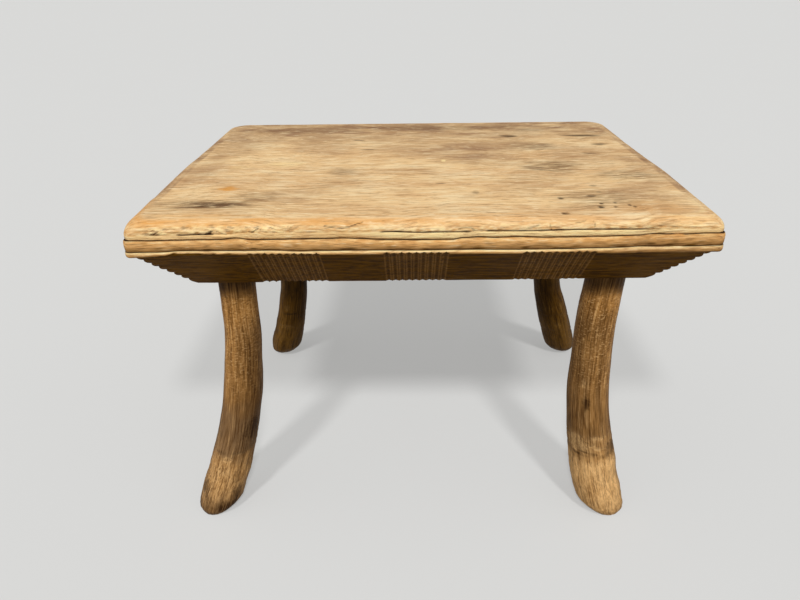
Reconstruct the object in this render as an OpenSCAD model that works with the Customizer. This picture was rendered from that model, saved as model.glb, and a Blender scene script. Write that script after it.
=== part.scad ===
// Side table: one thick carved plank standing on four naturally bent legs.
// X runs along the top, Y from front to back and Z up from the floor. Lengths are in millimetres.

/* [Top] */
// Length of the top, along X
top_length = 637; // [610:1:680]
// Depth of the top, front to back
top_depth = 449; // [430:1:500]
// Height of the top face above the floor
table_height = 440; // [400:1:500]
// Radius of the top face's worn corners in plan
corner_r = 20; // [18:0.5:28]

/* [Moulded edge] */
// Height of the rounded upper edge, down to the fine groove
crown_h = 11; // [8:0.5:14]
// How far the rounded upper edge reaches in over the top face
crown_run = 15.5; // [8:0.5:15.5]
// Height of the narrow bead
narrow_bead_h = 7.5; // [6:0.5:10]
// Height of the wide bead
wide_bead_h = 12.5; // [10:0.5:16]
// Height of the lowest bead
low_bead_h = 6.5; // [5:0.5:9]
// Depth of the fine groove under the rounded upper edge
fine_groove = 1.2; // [0.6:0.1:2]
// Depth of the two main grooves
main_groove = 3; // [2:0.1:4]
// How far the worn upper edge and narrow bead stand back from the wide bead
upper_wear = 1.8; // [0:0.1:2.4]
// Radius of the beads' corners in plan
bead_corner_r = 10; // [7:0.5:16]

/* [Under-block] */
// Height of the bevelled block under the moulded edge
block_h = 56; // [45:0.5:65]
// How far the ribbed ends draw in, from the top's end to the underside
end_inset = 52; // [47:0.5:62]
// How far the long bevels draw in, from the top's side to the underside
side_inset = 50; // [42:0.5:54]
// Flat ledge beyond the first rib, at each end
end_ledge = 8; // [5:0.5:12]
// Flat ledge outside each long bevel
side_ledge = 2; // [1:0.5:4]
// Number of carved ribs across each end
rib_count = 8; // [6:1:10]
// Height of the ribs above the grooves between them
rib_relief = 2.2; // [1:0.1:3]
// Height of the heavier lowest rib
low_rib_h = 9; // [7:0.5:12]

/* [Flutes] */
// Distance from one flute to the next
flute_pitch = 7.9; // [7:0.1:8.5]
// Width of one flute
flute_w = 6.6; // [4.5:0.1:6.8]
// Depth of one flute
flute_depth = 1.6; // [0.8:0.1:2.2]
// Number of flutes in the left and right banks
outer_flutes = 10; // [8:1:12]
// Number of flutes in the middle bank
middle_flutes = 9; // [7:1:11]
// Distance from each end of the underside to the middle of the nearest bank
outer_bank_margin = 119.5; // [105:0.5:130]
// Place of the middle bank along X
middle_bank_x = -5; // [-12:1:12]

/* [Legs] */
// Distance from the long sides of the underside to the middle of the tenons
side_margin = 26.5; // [25:0.5:40]
// How far the front feet stand out in front of their tenons
front_reach_y = 49; // [40:1:60]
// How far the back feet stand out behind their tenons
back_reach_y = 54; // [40:1:60]
// How late the legs bend on their way down, where 1 is a straight slope
bend = 2.2; // [1.8:0.1:3]
// Distance from the left end of the underside to the front left tenon
front_left_margin = 42; // [30:0.5:60]
// How far the front left foot stands out beyond its tenon
front_left_reach = 64; // [40:1:70]
// Thickness of the front left leg at its shoulder
front_left_top_d = 42; // [40:0.5:50]
// Thickness of the front left leg at its foot
front_left_foot_d = 59; // [50:0.5:64]
// Distance from the right end of the underside to the front right tenon
front_right_margin = 40.5; // [30:0.5:60]
// How far the front right foot stands out beyond its tenon
front_right_reach = 33; // [25:1:70]
// How late the front right leg bends on its way down
front_right_bend = 3.2; // [2:0.1:4]
// How far the front right leg bows inwards halfway down
front_right_bow = 5; // [0:0.5:8]
// Thickness of the front right leg at its shoulder
front_right_top_d = 44; // [40:0.5:50]
// Thickness of the front right leg at its foot
front_right_foot_d = 60.5; // [50:0.5:64]
// Distance from the left end of the underside to the back left tenon
back_left_margin = 53.5; // [30:0.5:60]
// How far the back left foot stands out beyond its tenon
back_left_reach = 48; // [40:1:70]
// Thickness of the back left leg at its shoulder
back_left_top_d = 41; // [40:0.5:50]
// Thickness of the back left leg at its foot
back_left_foot_d = 54; // [50:0.5:64]
// Distance from the right end of the underside to the back right tenon
back_right_margin = 48.5; // [30:0.5:60]
// How far the back right foot stands out beyond its tenon
back_right_reach = 67; // [40:1:74]
// Thickness of the back right leg at its shoulder
back_right_top_d = 41; // [40:0.5:50]
// Thickness of the back right leg at its foot
back_right_foot_d = 52.5; // [50:0.5:64]
// Height over which a foot rounds off to its sole
foot_round = 30; // [20:1:40]
// Width of the sole that meets the floor, as a share of the foot's thickness
sole_share = 0.5; // [0.4:0.05:0.7]
// How far the sole lies outside the middle of the foot, along X
sole_shift_x = 4; // [0:0.5:8]
// How far the sole lies outside the middle of the foot, front to back
sole_shift_y = 5; // [0:0.5:8]

/* [Joints] */
// Diameter of the round tenons
tenon_d = 34; // [28:0.5:36]
// Length of the tenons above the legs' shoulders
tenon_length = 50; // [40:0.5:60]
// Gap round a tenon in its mortise
mortise_gap = 0.2; // [0.1:0.05:0.4]
// Depth of the split cut in a tenon for its wedge
split_depth = 32; // [25:0.5:36]
// Thickness of a wedge at the tenon's end
wedge_head = 6; // [4:0.5:8]
// Thickness of a wedge at its tip
wedge_tip = 2; // [1:0.5:3]
// How far a wedge stands out of its tenon, against the end of the mortise
wedge_proud = 2; // [1:0.5:4]

/* [Hidden] */

$fn = 64;

// Steps in the arc of one bead, one rib and the rounded upper edge
bead_steps = 8;
rib_steps = 6;
crown_steps = 5;

// Sides of a leg's section, and sections along its foot and along the rest of it
leg_side_count = 32;
foot_section_count = 7;
stem_section_count = 22;

// How far the block is let into the slab, so that the two are one plank
block_root = low_bead_h * 0.6;
// How far a flute's cutter runs on past each end of the bevel
cutter_over = 12;
// How far a cut starts outside the face that it opens
cut_over = 1;
// How far a tenon is rooted in its leg, so that the two are one branch
tenon_root = 12;

// How far the rounded upper edge falls before it turns in to the fine groove
crown_fall = crown_h * 0.85;

// Heights above the floor
fine_groove_z = table_height - crown_h;
upper_groove_z = fine_groove_z - narrow_bead_h;
lower_groove_z = upper_groove_z - wide_bead_h;
slab_z = lower_groove_z - low_bead_h;
underside_z = slab_z - block_h;
tenon_z = underside_z + tenon_length;
mortise_z = tenon_z + wedge_proud;
split_z = tenon_z - split_depth;

// The underside's outline, and the places of the tenons and the outer banks on it
underside_x = top_length / 2 - end_inset;
underside_y = top_depth / 2 - side_inset;
tenon_y = underside_y - side_margin;
front_left_x = underside_x - front_left_margin;
front_right_x = underside_x - front_right_margin;
back_left_x = underside_x - back_left_margin;
back_right_x = underside_x - back_right_margin;
outer_bank_x = underside_x - outer_bank_margin;

// The long bevel's slope, and the size of the round cutter that leaves one flute
bevel_run = side_inset - side_ledge;
bevel_angle = atan2(bevel_run, block_h);
bevel_length = norm([bevel_run, block_h]);
cutter_r = (pow(flute_w / 2, 2) + pow(flute_depth, 2)) / (2 * flute_depth);

// Points on a bead, out from one groove and back into the next, as [distance from the edge, height]
function bead(top_z, height, crest, upper_groove, lower_groove) = [
    for (i = [1 : bead_steps])
        let (a = 180 * i / bead_steps, groove = a < 90 ? upper_groove : lower_groove)
            [-crest - (groove - crest) * (1 - sin(a)), top_z - height * (1 - cos(a)) / 2]
];

// Points on the rounded upper edge, from the top face out and down, and then in to the fine groove
function crown() = concat(
    [
        for (i = [0 : crown_steps])
            let (a = 90 * i / crown_steps)
                [-upper_wear - crown_run * (1 - sin(a)), table_height - crown_fall * (1 - cos(a))]
    ],
    [[-upper_wear - fine_groove, fine_groove_z]]
);

// The two layers of the edge in section, each closed by a straight line at its corner radius
function crown_section() = concat(
    [[-corner_r, table_height]],
    crown(),
    [[-corner_r, fine_groove_z]]
);
function bead_section() = concat(
    [[-bead_corner_r, fine_groove_z], [-upper_wear - fine_groove, fine_groove_z]],
    bead(fine_groove_z, narrow_bead_h, upper_wear, upper_wear + fine_groove, main_groove),
    bead(upper_groove_z, wide_bead_h, 0, main_groove, main_groove),
    bead(lower_groove_z, low_bead_h, 0, main_groove, side_ledge),
    [[-bead_corner_r, slab_z]]
);

// A list of points moved along X, and one turned over left to right with its order kept closed
function moved(points, x) = [for (p = points) [p[0] + x, p[1]]];
function flipped(points) = [for (i = [len(points) - 1 : -1 : 0]) [-points[i][0], points[i][1]]];

// Heights of the ribs' edges, from the slab down to the underside
plain_rib_h = (block_h - low_rib_h) / (rib_count - 1);
function rib_edge_z(i) = i < rib_count ? slab_z - i * plain_rib_h : underside_z;

// A point on the ribbed end's slope at height z, set in from the slope by depth
end_run = end_inset - end_ledge;
function end_point(z, depth) =
    let (share = (slab_z - z) / block_h, slope = [block_h, end_run] / norm([block_h, end_run]))
        [top_length / 2 - end_ledge - end_run * share - depth * slope[0], z + depth * slope[1]];

// Points down one ribbed end, each rib an arc between two grooves
function ribbed_end() = [
    for (i = [0 : rib_count - 1])
        for (k = [0 : rib_steps - 1])
            let (
                a = 180 * k / rib_steps,
                z = rib_edge_z(i) + (rib_edge_z(i + 1) - rib_edge_z(i)) * (1 - cos(a)) / 2
            )
                end_point(z, rib_relief * (1 - sin(a)))
];

function block_end() = concat(
    [[top_length / 2 - end_ledge - rib_relief, slab_z + block_root]],
    ribbed_end(),
    [[underside_x - rib_relief, underside_z]]
);

// One layer of the slab: a middle with moulded ends, two long sides and four rounded corners
module moulded_layer(section, radius) {
    straight_x = top_length - 2 * radius;
    straight_y = top_depth - 2 * radius;
    end_section = moved(section, top_length / 2);
    rotate([90, 0, 0])
        linear_extrude(height = straight_y, center = true)
            polygon(concat(end_section, flipped(end_section)));
    for (turn = [90, -90])
        rotate([0, 0, turn])
            rotate([90, 0, 0])
                linear_extrude(height = straight_x, center = true)
                    polygon(moved(section, top_depth / 2));
    for (sx = [1, -1])
        for (sy = [1, -1])
            translate([sx * straight_x / 2, sy * straight_y / 2, 0])
                rotate([0, 0, sy > 0 ? (sx > 0 ? 0 : 90) : (sx > 0 ? 270 : 180)])
                    rotate_extrude(angle = 90)
                        polygon(moved(section, radius));
}

// The moulded slab: the rounded upper edge over the three beads
module slab() {
    moulded_layer(crown_section(), corner_r);
    moulded_layer(bead_section(), bead_corner_r);
}

// The under-block: ribbed ends and plain long bevels, where the two outlines cross
module block() {
    half_top = top_depth / 2 - side_ledge;
    intersection() {
        rotate([90, 0, 0])
            linear_extrude(height = top_depth, center = true)
                polygon(concat(block_end(), flipped(block_end())));
        rotate([90, 0, 90])
            linear_extrude(height = top_length, center = true)
                polygon([
                    [half_top, slab_z + block_root],
                    [half_top, slab_z],
                    [underside_y, underside_z],
                    [-underside_y, underside_z],
                    [-half_top, slab_z],
                    [-half_top, slab_z + block_root]
                ]);
    }
}

// A bank of flutes down the front bevel, cut on up into the lowest bead
module flute_bank(count, bank_x) {
    for (i = [0 : count - 1])
        translate([
            bank_x + (i - (count - 1) / 2) * flute_pitch,
            -underside_y,
            underside_z
        ])
            rotate([bevel_angle, 0, 0])
                translate([0, flute_depth - cutter_r, -cutter_over])
                    cylinder(r = cutter_r, h = bevel_length + 2 * cutter_over);
}

module flutes() {
    flute_bank(outer_flutes, -outer_bank_x);
    flute_bank(middle_flutes, middle_bank_x);
    flute_bank(outer_flutes, outer_bank_x);
}

// Blind round mortise for one leg
module mortise(x, y) {
    translate([x, y, underside_z - cut_over])
        cylinder(d = tenon_d + 2 * mortise_gap, h = mortise_z - underside_z + cut_over);
}

module top_block() {
    color("burlywood")
        difference() {
            union() {
                slab();
                block();
            }
            mortise(-front_left_x, -tenon_y);
            mortise(front_right_x, -tenon_y);
            mortise(-back_left_x, tenon_y);
            mortise(back_right_x, tenon_y);
            flutes();
            mirror([0, 1, 0])
                flutes();
        }
}

// Share of the way down from the legs' shoulders to the floor
function drop(z) = max(0, 1 - z / underside_z);

// How far a leg has moved out at height z, and how steeply it leans there
function outward(z, reach, power, bow) = reach * pow(drop(z), power) - bow * sin(180 * drop(z));
function lean(z, reach, power) = reach * power * pow(drop(z), power - 1) / underside_z;

// How full the foot's section is at height z, from the sole's share up to 1 above the rounding
function fullness(z) =
    z >= foot_round ? 1 : sole_share + (1 - sole_share) * sqrt(1 - pow(1 - z / foot_round, 2));

// Heights of a leg's sections, close together round the foot and even above it
function section_z(i) =
    i <= foot_section_count
        ? foot_round * (1 - cos(90 * i / foot_section_count))
        : foot_round + (underside_z - foot_round) * (i - foot_section_count) / stem_section_count;

// One level section of a leg, widened by its lean and drawn over to the sole at the foot
function leg_section(z, reach, reach_y, power, bow, top_d, foot_d) =
    let (
        r = (top_d + (foot_d - top_d) * drop(z)) / 2 * fullness(z),
        rx = r * norm([1, lean(z, reach, power)]),
        ry = r * norm([1, lean(z, reach_y, bend)]),
        shift = (1 - fullness(z)) / (1 - sole_share),
        cx = outward(z, reach, power, bow) + sole_shift_x * shift,
        cy = outward(z, reach_y, bend, 0) + sole_shift_y * shift
    )
        [
            for (j = [0 : leg_side_count - 1])
                let (a = 360 * j / leg_side_count)
                    [cx + rx * cos(a), cy + ry * sin(a), z]
        ];

// The bent branch, lofted through its sections, with its shoulder's centre over the origin
module branch(reach, reach_y, power, bow, top_d, foot_d) {
    last = foot_section_count + stem_section_count;
    points = [
        for (i = [0 : last])
            each leg_section(section_z(i), reach, reach_y, power, bow, top_d, foot_d)
    ];
    walls = [
        for (i = [0 : last - 1])
            for (j = [0 : leg_side_count - 1])
                let (
                    a = i * leg_side_count + j,
                    b = i * leg_side_count + (j + 1) % leg_side_count,
                    c = a + leg_side_count,
                    d = b + leg_side_count
                )
                    each [[a, c, d], [a, d, b]]
    ];
    sole = [for (j = [0 : leg_side_count - 1]) j];
    shoulder = [for (j = [leg_side_count - 1 : -1 : 0]) last * leg_side_count + j];
    polyhedron(points = points, faces = concat(walls, [sole, shoulder]));
}

// The tapered space of a wedge, across the tenon, from its tip up to height top_z
module wedge_space(top_z) {
    grow = (wedge_head - wedge_tip) / split_depth;
    head = wedge_tip + grow * (top_z - split_z);
    rotate([90, 0, 0])
        linear_extrude(height = 2 * tenon_d, center = true)
            polygon([
                [-wedge_tip / 2, split_z],
                [wedge_tip / 2, split_z],
                [head / 2, top_z],
                [-head / 2, top_z]
            ]);
}

// A leg with its tenon, whose end is split for the wedge. Positive side and row stand right and back.
module leg(side, row, tenon_x, reach, power, bow, top_d, foot_d) {
    translate([side * tenon_x, row * tenon_y, 0])
        difference() {
            union() {
                mirror([side < 0 ? 1 : 0, 0, 0])
                    mirror([0, row < 0 ? 1 : 0, 0])
                        branch(reach, row < 0 ? front_reach_y : back_reach_y, power, bow, top_d, foot_d);
                translate([0, 0, underside_z - tenon_root])
                    cylinder(d = tenon_d, h = tenon_length + tenon_root);
            }
            wedge_space(tenon_z + cut_over);
        }
}

// A wedge fills its split, and its head meets the closed end of the mortise
module wedge(x, y) {
    translate([x, y, 0])
        intersection() {
            wedge_space(mortise_z);
            translate([0, 0, split_z])
                cylinder(d = tenon_d, h = mortise_z - split_z);
        }
}

module front_left_leg() {
    color("peru")
        leg(-1, -1, front_left_x, front_left_reach, bend, 0, front_left_top_d, front_left_foot_d);
}

module front_right_leg() {
    color("peru")
        leg(
            1, -1, front_right_x, front_right_reach, front_right_bend, front_right_bow,
            front_right_top_d, front_right_foot_d
        );
}

module back_left_leg() {
    color("sienna")
        leg(-1, 1, back_left_x, back_left_reach, bend, 0, back_left_top_d, back_left_foot_d);
}

module back_right_leg() {
    color("sienna")
        leg(1, 1, back_right_x, back_right_reach, bend, 0, back_right_top_d, back_right_foot_d);
}

module front_left_wedge() {
    color("wheat")
        wedge(-front_left_x, -tenon_y);
}

module front_right_wedge() {
    color("wheat")
        wedge(front_right_x, -tenon_y);
}

module back_left_wedge() {
    color("wheat")
        wedge(-back_left_x, tenon_y);
}

module back_right_wedge() {
    color("wheat")
        wedge(back_right_x, tenon_y);
}

top_block();
front_left_leg();
front_right_leg();
back_left_leg();
back_right_leg();
front_left_wedge();
front_right_wedge();
back_left_wedge();
back_right_wedge();
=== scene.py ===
"""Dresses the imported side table: one carved plank on four bent branch legs, in a plain studio.

Sizes in the classes are in millimetres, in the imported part's frame, and become metres as a mesh is placed.
"""

import logging
import math
from collections.abc import Iterable, Sequence
from dataclasses import dataclass
from enum import Enum

import bmesh
import bpy
from mathutils import Matrix, Vector, noise


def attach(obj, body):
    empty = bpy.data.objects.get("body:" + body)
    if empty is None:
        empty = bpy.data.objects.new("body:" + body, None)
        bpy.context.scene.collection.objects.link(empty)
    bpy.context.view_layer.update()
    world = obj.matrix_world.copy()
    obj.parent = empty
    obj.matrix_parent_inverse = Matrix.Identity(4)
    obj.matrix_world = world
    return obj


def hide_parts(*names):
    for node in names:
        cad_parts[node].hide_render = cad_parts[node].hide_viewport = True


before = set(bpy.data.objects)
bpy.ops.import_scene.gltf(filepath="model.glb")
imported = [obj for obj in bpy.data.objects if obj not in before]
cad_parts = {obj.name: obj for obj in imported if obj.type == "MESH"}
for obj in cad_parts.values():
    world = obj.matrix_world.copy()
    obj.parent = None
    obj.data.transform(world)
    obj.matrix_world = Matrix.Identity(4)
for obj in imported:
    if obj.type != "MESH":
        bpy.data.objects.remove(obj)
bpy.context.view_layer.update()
LOG = logging.getLogger("side_table")
MM = 0.001

# How much dry wood and the matt ground shine
SHEEN = 0.06

Table = Sequence[tuple[float, float]]
Colour = tuple[float, float, float, float]
Socket = bpy.types.NodeSocket


def paint(red: int, green: int, blue: int) -> Colour:
    """Turns a colour as a screen shows it into the linear one that a shader takes.

    Args:
        red: Red, from 0 to 255.
        green: Green, from 0 to 255.
        blue: Blue, from 0 to 255.

    Returns:
        The linear colour, opaque.
    """
    parts = [(c / 255 / 12.92) if c < 11 else ((c / 255 + 0.055) / 1.055) ** 2.4 for c in (red, green, blue)]
    return (parts[0], parts[1], parts[2], 1.0)


def ease(low: float, high: float, value: float) -> float:
    """Rises smoothly from 0 at low to 1 at high.

    Args:
        low: Where the rise starts.
        high: Where it ends. It may lie below low.
        value: Where to read it.

    Returns:
        A share from 0 to 1.
    """
    share = min(1.0, max(0.0, (value - low) / (high - low)))
    return share * share * (3 - 2 * share)


def mixed(first: float, second: float, share: float) -> float:
    """Gives the value that lies a share of the way from first to second."""
    return first + (second - first) * share


def along(table: Table, place: float) -> float:
    """Reads a table of (place, value) pairs, with a soft turn at each pair.

    Args:
        table: Pairs in order of place.
        place: Where to read it. Beyond its ends the end values hold.

    Returns:
        The value there.
    """
    if place <= table[0][0]:
        return table[0][1]
    for (a, low), (b, high) in zip(table, table[1:]):
        if place <= b:
            return mixed(low, high, ease(a, b, place))
    return table[-1][1]


def swept(table: Table, place: float) -> float:
    """Reads a table of (place, value) pairs along a smooth curve through all of them.

    Args:
        table: Pairs in order of place.
        place: Where to read it, between the first and the last place.

    Returns:
        The value there.
    """
    last = len(table) - 1
    place = min(max(place, table[0][0]), table[last][0])
    i = next(k for k in range(last) if place <= table[k + 1][0])
    (a, low), (b, high) = table[i], table[i + 1]
    before, after = table[max(0, i - 1)], table[min(last, i + 2)]
    start = (high - before[1]) / (b - before[0]) * (b - a)
    end = (after[1] - low) / (after[0] - a) * (b - a)
    t = (place - a) / (b - a)
    return (
        (2 * t**3 - 3 * t**2 + 1) * low
        + (t**3 - 2 * t**2 + t) * start
        + (3 * t**2 - 2 * t**3) * high
        + (t**3 - t**2) * end
    )


def ripple(x: float, y: float, z: float, seed: float = 0.0) -> float:
    """Gives smooth unevenness about one unit across, roughly from -1 to 1, the same on every run."""
    return noise.noise(Vector((x + seed, y - 1.7 * seed, z + 0.6 * seed)))


def corners(edges: Iterable[bmesh.types.BMEdge]) -> set[bmesh.types.BMVert]:
    """Gives the points that some edges join."""
    return {v for e in edges for v in e.verts}


def drawn_on(bm: bmesh.types.BMesh, ring: list[bmesh.types.BMEdge]) -> list[bmesh.types.BMEdge]:
    """Draws a ring of edges on into a new one, in the same place, and gives the new ring."""
    made = bmesh.ops.extrude_edge_only(bm, edges=ring)["geom"]
    return [g for g in made if isinstance(g, bmesh.types.BMEdge) and g.is_boundary]


@dataclass(frozen=True)
class Noise:
    """A fractal noise: how often it changes in a metre along each axis, its detail and its roughness."""

    scale: tuple[float, float, float]
    detail: float = 4.0
    rough: float = 0.6


class Wiring:
    """Lays out the nodes of a material, or of the sky."""

    def __init__(self, owner: bpy.types.Material | bpy.types.World) -> None:
        """Starts empty.

        Args:
            owner: The material or the sky.
        """
        self.owner = owner
        owner.use_nodes = True
        self.tree = owner.node_tree
        self.tree.nodes.clear()

    def node(self, kind: str, inputs: dict | None = None, **settings: object) -> bpy.types.Node:
        """Adds a node.

        Args:
            kind: Blender's name of the node's type.
            inputs: Values or sockets for its inputs, by name or number.
            **settings: Values for the node's own properties.

        Returns:
            The node.
        """
        made = self.tree.nodes.new(kind)
        for name, value in settings.items():
            setattr(made, name, value)
        for key, value in (inputs or {}).items():
            if isinstance(value, Socket):
                self.tree.links.new(value, made.inputs[key])
            elif value is not None:
                made.inputs[key].default_value = value
        return made

    def place(self) -> Socket:
        """Gives the place on the piece, in metres."""
        return self.node("ShaderNodeTexCoord").outputs["Object"]

    def layer(self, name: str) -> Socket:
        """Gives a value painted on the mesh's points."""
        return self.node("ShaderNodeAttribute", attribute_name=name).outputs["Fac"]

    def even(self, place: Socket, scale: float, detail: float, rough: float = 0.55) -> Socket:
        """Gives a fractal noise that is alike along all axes, from 0 to 1."""
        made = self.node("ShaderNodeTexNoise", {"Vector": place, "Scale": scale, "Detail": detail, "Roughness": rough})
        return made.outputs["Fac"]

    def grain(self, place: Socket, kind: Noise) -> Socket:
        """Gives a fractal noise drawn out along the wood, from 0 to 1."""
        stretched = self.node("ShaderNodeMapping", {"Vector": place, "Scale": kind.scale}).outputs[0]
        return self.even(stretched, 1.0, kind.detail, kind.rough)

    def steps(self, value: Socket, low: float, high: float) -> Socket:
        """Gives 0 below low, 1 above high and a smooth rise between them. The two may be the other way round."""
        ends = {0: value, 1: low, 2: high, 3: 0.0, 4: 1.0}
        return self.node("ShaderNodeMapRange", ends, interpolation_type="SMOOTHSTEP").outputs[0]

    def sum(self, operation: str, first: Socket | float, second: Socket | float) -> Socket:
        """Works out one sum of two values, such as ADD or MAXIMUM."""
        return self.node("ShaderNodeMath", {0: first, 1: second}, operation=operation).outputs[0]

    def times(self, first: Socket | float, second: Socket | float) -> Socket:
        """Multiplies two values."""
        return self.sum("MULTIPLY", first, second)

    def over(self, share: Socket | float, under: Socket | Colour, top: Socket | Colour) -> Socket:
        """Lays one colour over another.

        Args:
            share: How much of the top colour shows.
            under: The colour below.
            top: The colour above.

        Returns:
            The mixed colour.
        """
        made = self.node("ShaderNodeMix", data_type="RGBA", blend_type="MIX", clamp_factor=True)
        for socket, value in zip((made.inputs[0], made.inputs[6], made.inputs[7]), (share, under, top)):
            if isinstance(value, Socket):
                self.tree.links.new(value, socket)
            else:
                socket.default_value = value
        return made.outputs[2]

    def coat(
        self, under: Socket | Colour, top: Colour, pattern: Socket, rise: tuple[float, float], share: Socket | float
    ) -> Socket:
        """Lays a colour over another in the pattern of a noise.

        Args:
            under: The colour below.
            top: The colour above.
            pattern: The noise.
            rise: The noise's values where the colour starts, and where it has its full share.
            share: The full share.

        Returns:
            The mixed colour.
        """
        return self.over(self.times(self.steps(pattern, *rise), share), under, top)

    def between(self, share: Socket, low: float, high: float) -> Socket:
        """Turns a share from 0 to 1 into a value from low to high."""
        return self.node("ShaderNodeMapRange", {0: share, 1: 0.0, 2: 1.0, 3: low, 4: high}).outputs[0]

    def relief(self, height: Socket, depth: float, under: Socket | None = None) -> Socket:
        """Gives a bumped normal.

        Args:
            height: Height of the relief, from 0 to 1.
            depth: Its full depth, in millimetres.
            under: A normal that it is laid over.

        Returns:
            The normal.
        """
        return self.node("ShaderNodeBump", {"Height": height, "Distance": depth * MM, "Normal": under}).outputs[0]

    def surface(self, colour: Socket, roughness: Socket, normal: Socket) -> Socket:
        """Gives a surface of dry wood or of a dry ground."""
        look = {"Base Color": colour, "Roughness": roughness, "Normal": normal, "Specular IOR Level": SHEEN}
        return self.node("ShaderNodeBsdfPrincipled", look).outputs[0]

    def close(self, surface: Socket) -> bpy.types.Material:
        """Ends the material with its surface, and gives it."""
        self.node("ShaderNodeOutputMaterial", {"Surface": surface})
        return self.owner


@dataclass(frozen=True)
class PlankFinish:
    """Bleached and worn softwood above, with its old brown patina left on the underside."""

    honey: Colour = paint(240, 202, 148)
    tan: Colour = paint(216, 172, 122)
    rust: Colour = paint(196, 148, 100)
    streak: Colour = paint(150, 106, 66)
    light: Colour = paint(255, 236, 192)
    weathered: Colour = paint(160, 124, 92)
    grime: Colour = paint(92, 72, 54)
    glow: Colour = paint(222, 158, 82)
    fresh: Colour = paint(255, 228, 164)
    patina: Colour = paint(112, 73, 4)
    patina_dark: Colour = paint(64, 37, 0)
    crack: Colour = paint(44, 22, 6)
    bands: Noise = Noise((2.4, 30.0, 34.0), 4.0, 0.55)
    lines: Noise = Noise((20.0, 230.0, 300.0), 5.0, 0.62)
    flecks: Noise = Noise((46.0, 340.0, 580.0), 4.0, 0.66)
    mottle: Noise = Noise((14.0, 36.0, 150.0), 5.0, 0.64)
    fibres: Noise = Noise((150.0, 700.0, 1300.0), 3.0, 0.6)
    clouds: Noise = Noise((7.0, 12.0, 12.0), 5.0, 0.62)
    drift: tuple[float, float] = (5.0, 3.0)
    drift_y: float = 0.045
    drift_z: float = 0.02
    carved_depth: float = 1.5
    fibre_depth: float = 0.35

    def material(self) -> bpy.types.Material:
        """Builds the finish.

        Returns:
            The material. It reads the layers painted on the plank's points.
        """
        w = Wiring(bpy.data.materials.new("carved_plank"))
        place = w.place()
        drift = w.even(place, *self.drift)
        lift = w.node("ShaderNodeCombineXYZ", {1: w.times(drift, self.drift_y), 2: w.times(drift, self.drift_z)})
        bent = w.node("ShaderNodeVectorMath", {0: place, 1: lift.outputs[0]}, operation="ADD").outputs[0]
        named = (self.bands, self.lines, self.flecks, self.mottle, self.fibres)
        bands, lines, flecks, mottle, fibres = (w.grain(bent, kind) for kind in named)
        clouds = w.grain(place, self.clouds)
        glow, grime, patina = (w.layer(name) for name in ("glow", "grime", "patina"))

        wood = w.coat(self.honey, self.tan, bands, (0.42, 0.68), 0.6)
        wood = w.coat(wood, self.weathered, clouds, (0.50, 0.68), 0.3)
        wood = w.coat(wood, self.light, mottle, (0.50, 0.34), 0.32)
        wood = w.coat(wood, self.rust, mottle, (0.52, 0.66), 0.3)
        wood = w.coat(wood, self.streak, lines, (0.53, 0.64), 0.38)
        wood = w.coat(wood, self.light, lines, (0.46, 0.38), 0.3)
        wood = w.over(glow, wood, self.glow)
        rubbed = w.times(w.layer("weathered"), w.between(w.steps(mottle, 0.40, 0.60), 0.5, 1.0))
        wood = w.over(rubbed, wood, self.weathered)
        wood = w.over(w.times(grime, w.between(w.steps(flecks, 0.42, 0.58), 0.4, 1.0)), wood, self.grime)
        # The fresh layer: pale bare wood, and painted highlight on the upper parts of the beads
        clean = w.times(w.layer("fresh"), w.between(w.steps(flecks, 0.4, 0.62), 1.0, 0.35))
        wood = w.over(clean, wood, self.fresh)
        wood = w.coat(wood, self.streak, flecks, (0.53, 0.66), 0.52)
        # Pale flecks, painted as highlights on raised fibres; fewer where the orange glow layer lies
        wood = w.coat(wood, self.light, flecks, (0.45, 0.33), w.between(glow, 0.52, 0.36))
        streaks = w.sum("ADD", w.times(lines, 0.6), w.times(flecks, 0.4))
        # The patina layer: old brown patina on the underside and the low bead, and painted shade on the lower half of
        # the wide bead
        old = w.over(w.steps(streaks, 0.41, 0.59), self.patina, self.patina_dark)
        wood = w.over(patina, wood, old)
        # Dark cracks, cuts and split fibres, and painted shadow in the grooves and the flutes
        wood = w.over(w.layer("crack"), wood, self.crack)

        shine = w.between(w.steps(clouds, 0.3, 0.7), 0.5, 0.66)
        rough = w.sum("ADD", shine, w.times(w.sum("ADD", grime, patina), 0.12))
        coarse = w.relief(w.sum("ADD", w.times(lines, 0.5), w.times(flecks, -0.7)), self.carved_depth)
        return w.close(w.surface(wood, rough, w.relief(fibres, self.fibre_depth, coarse)))


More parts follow.
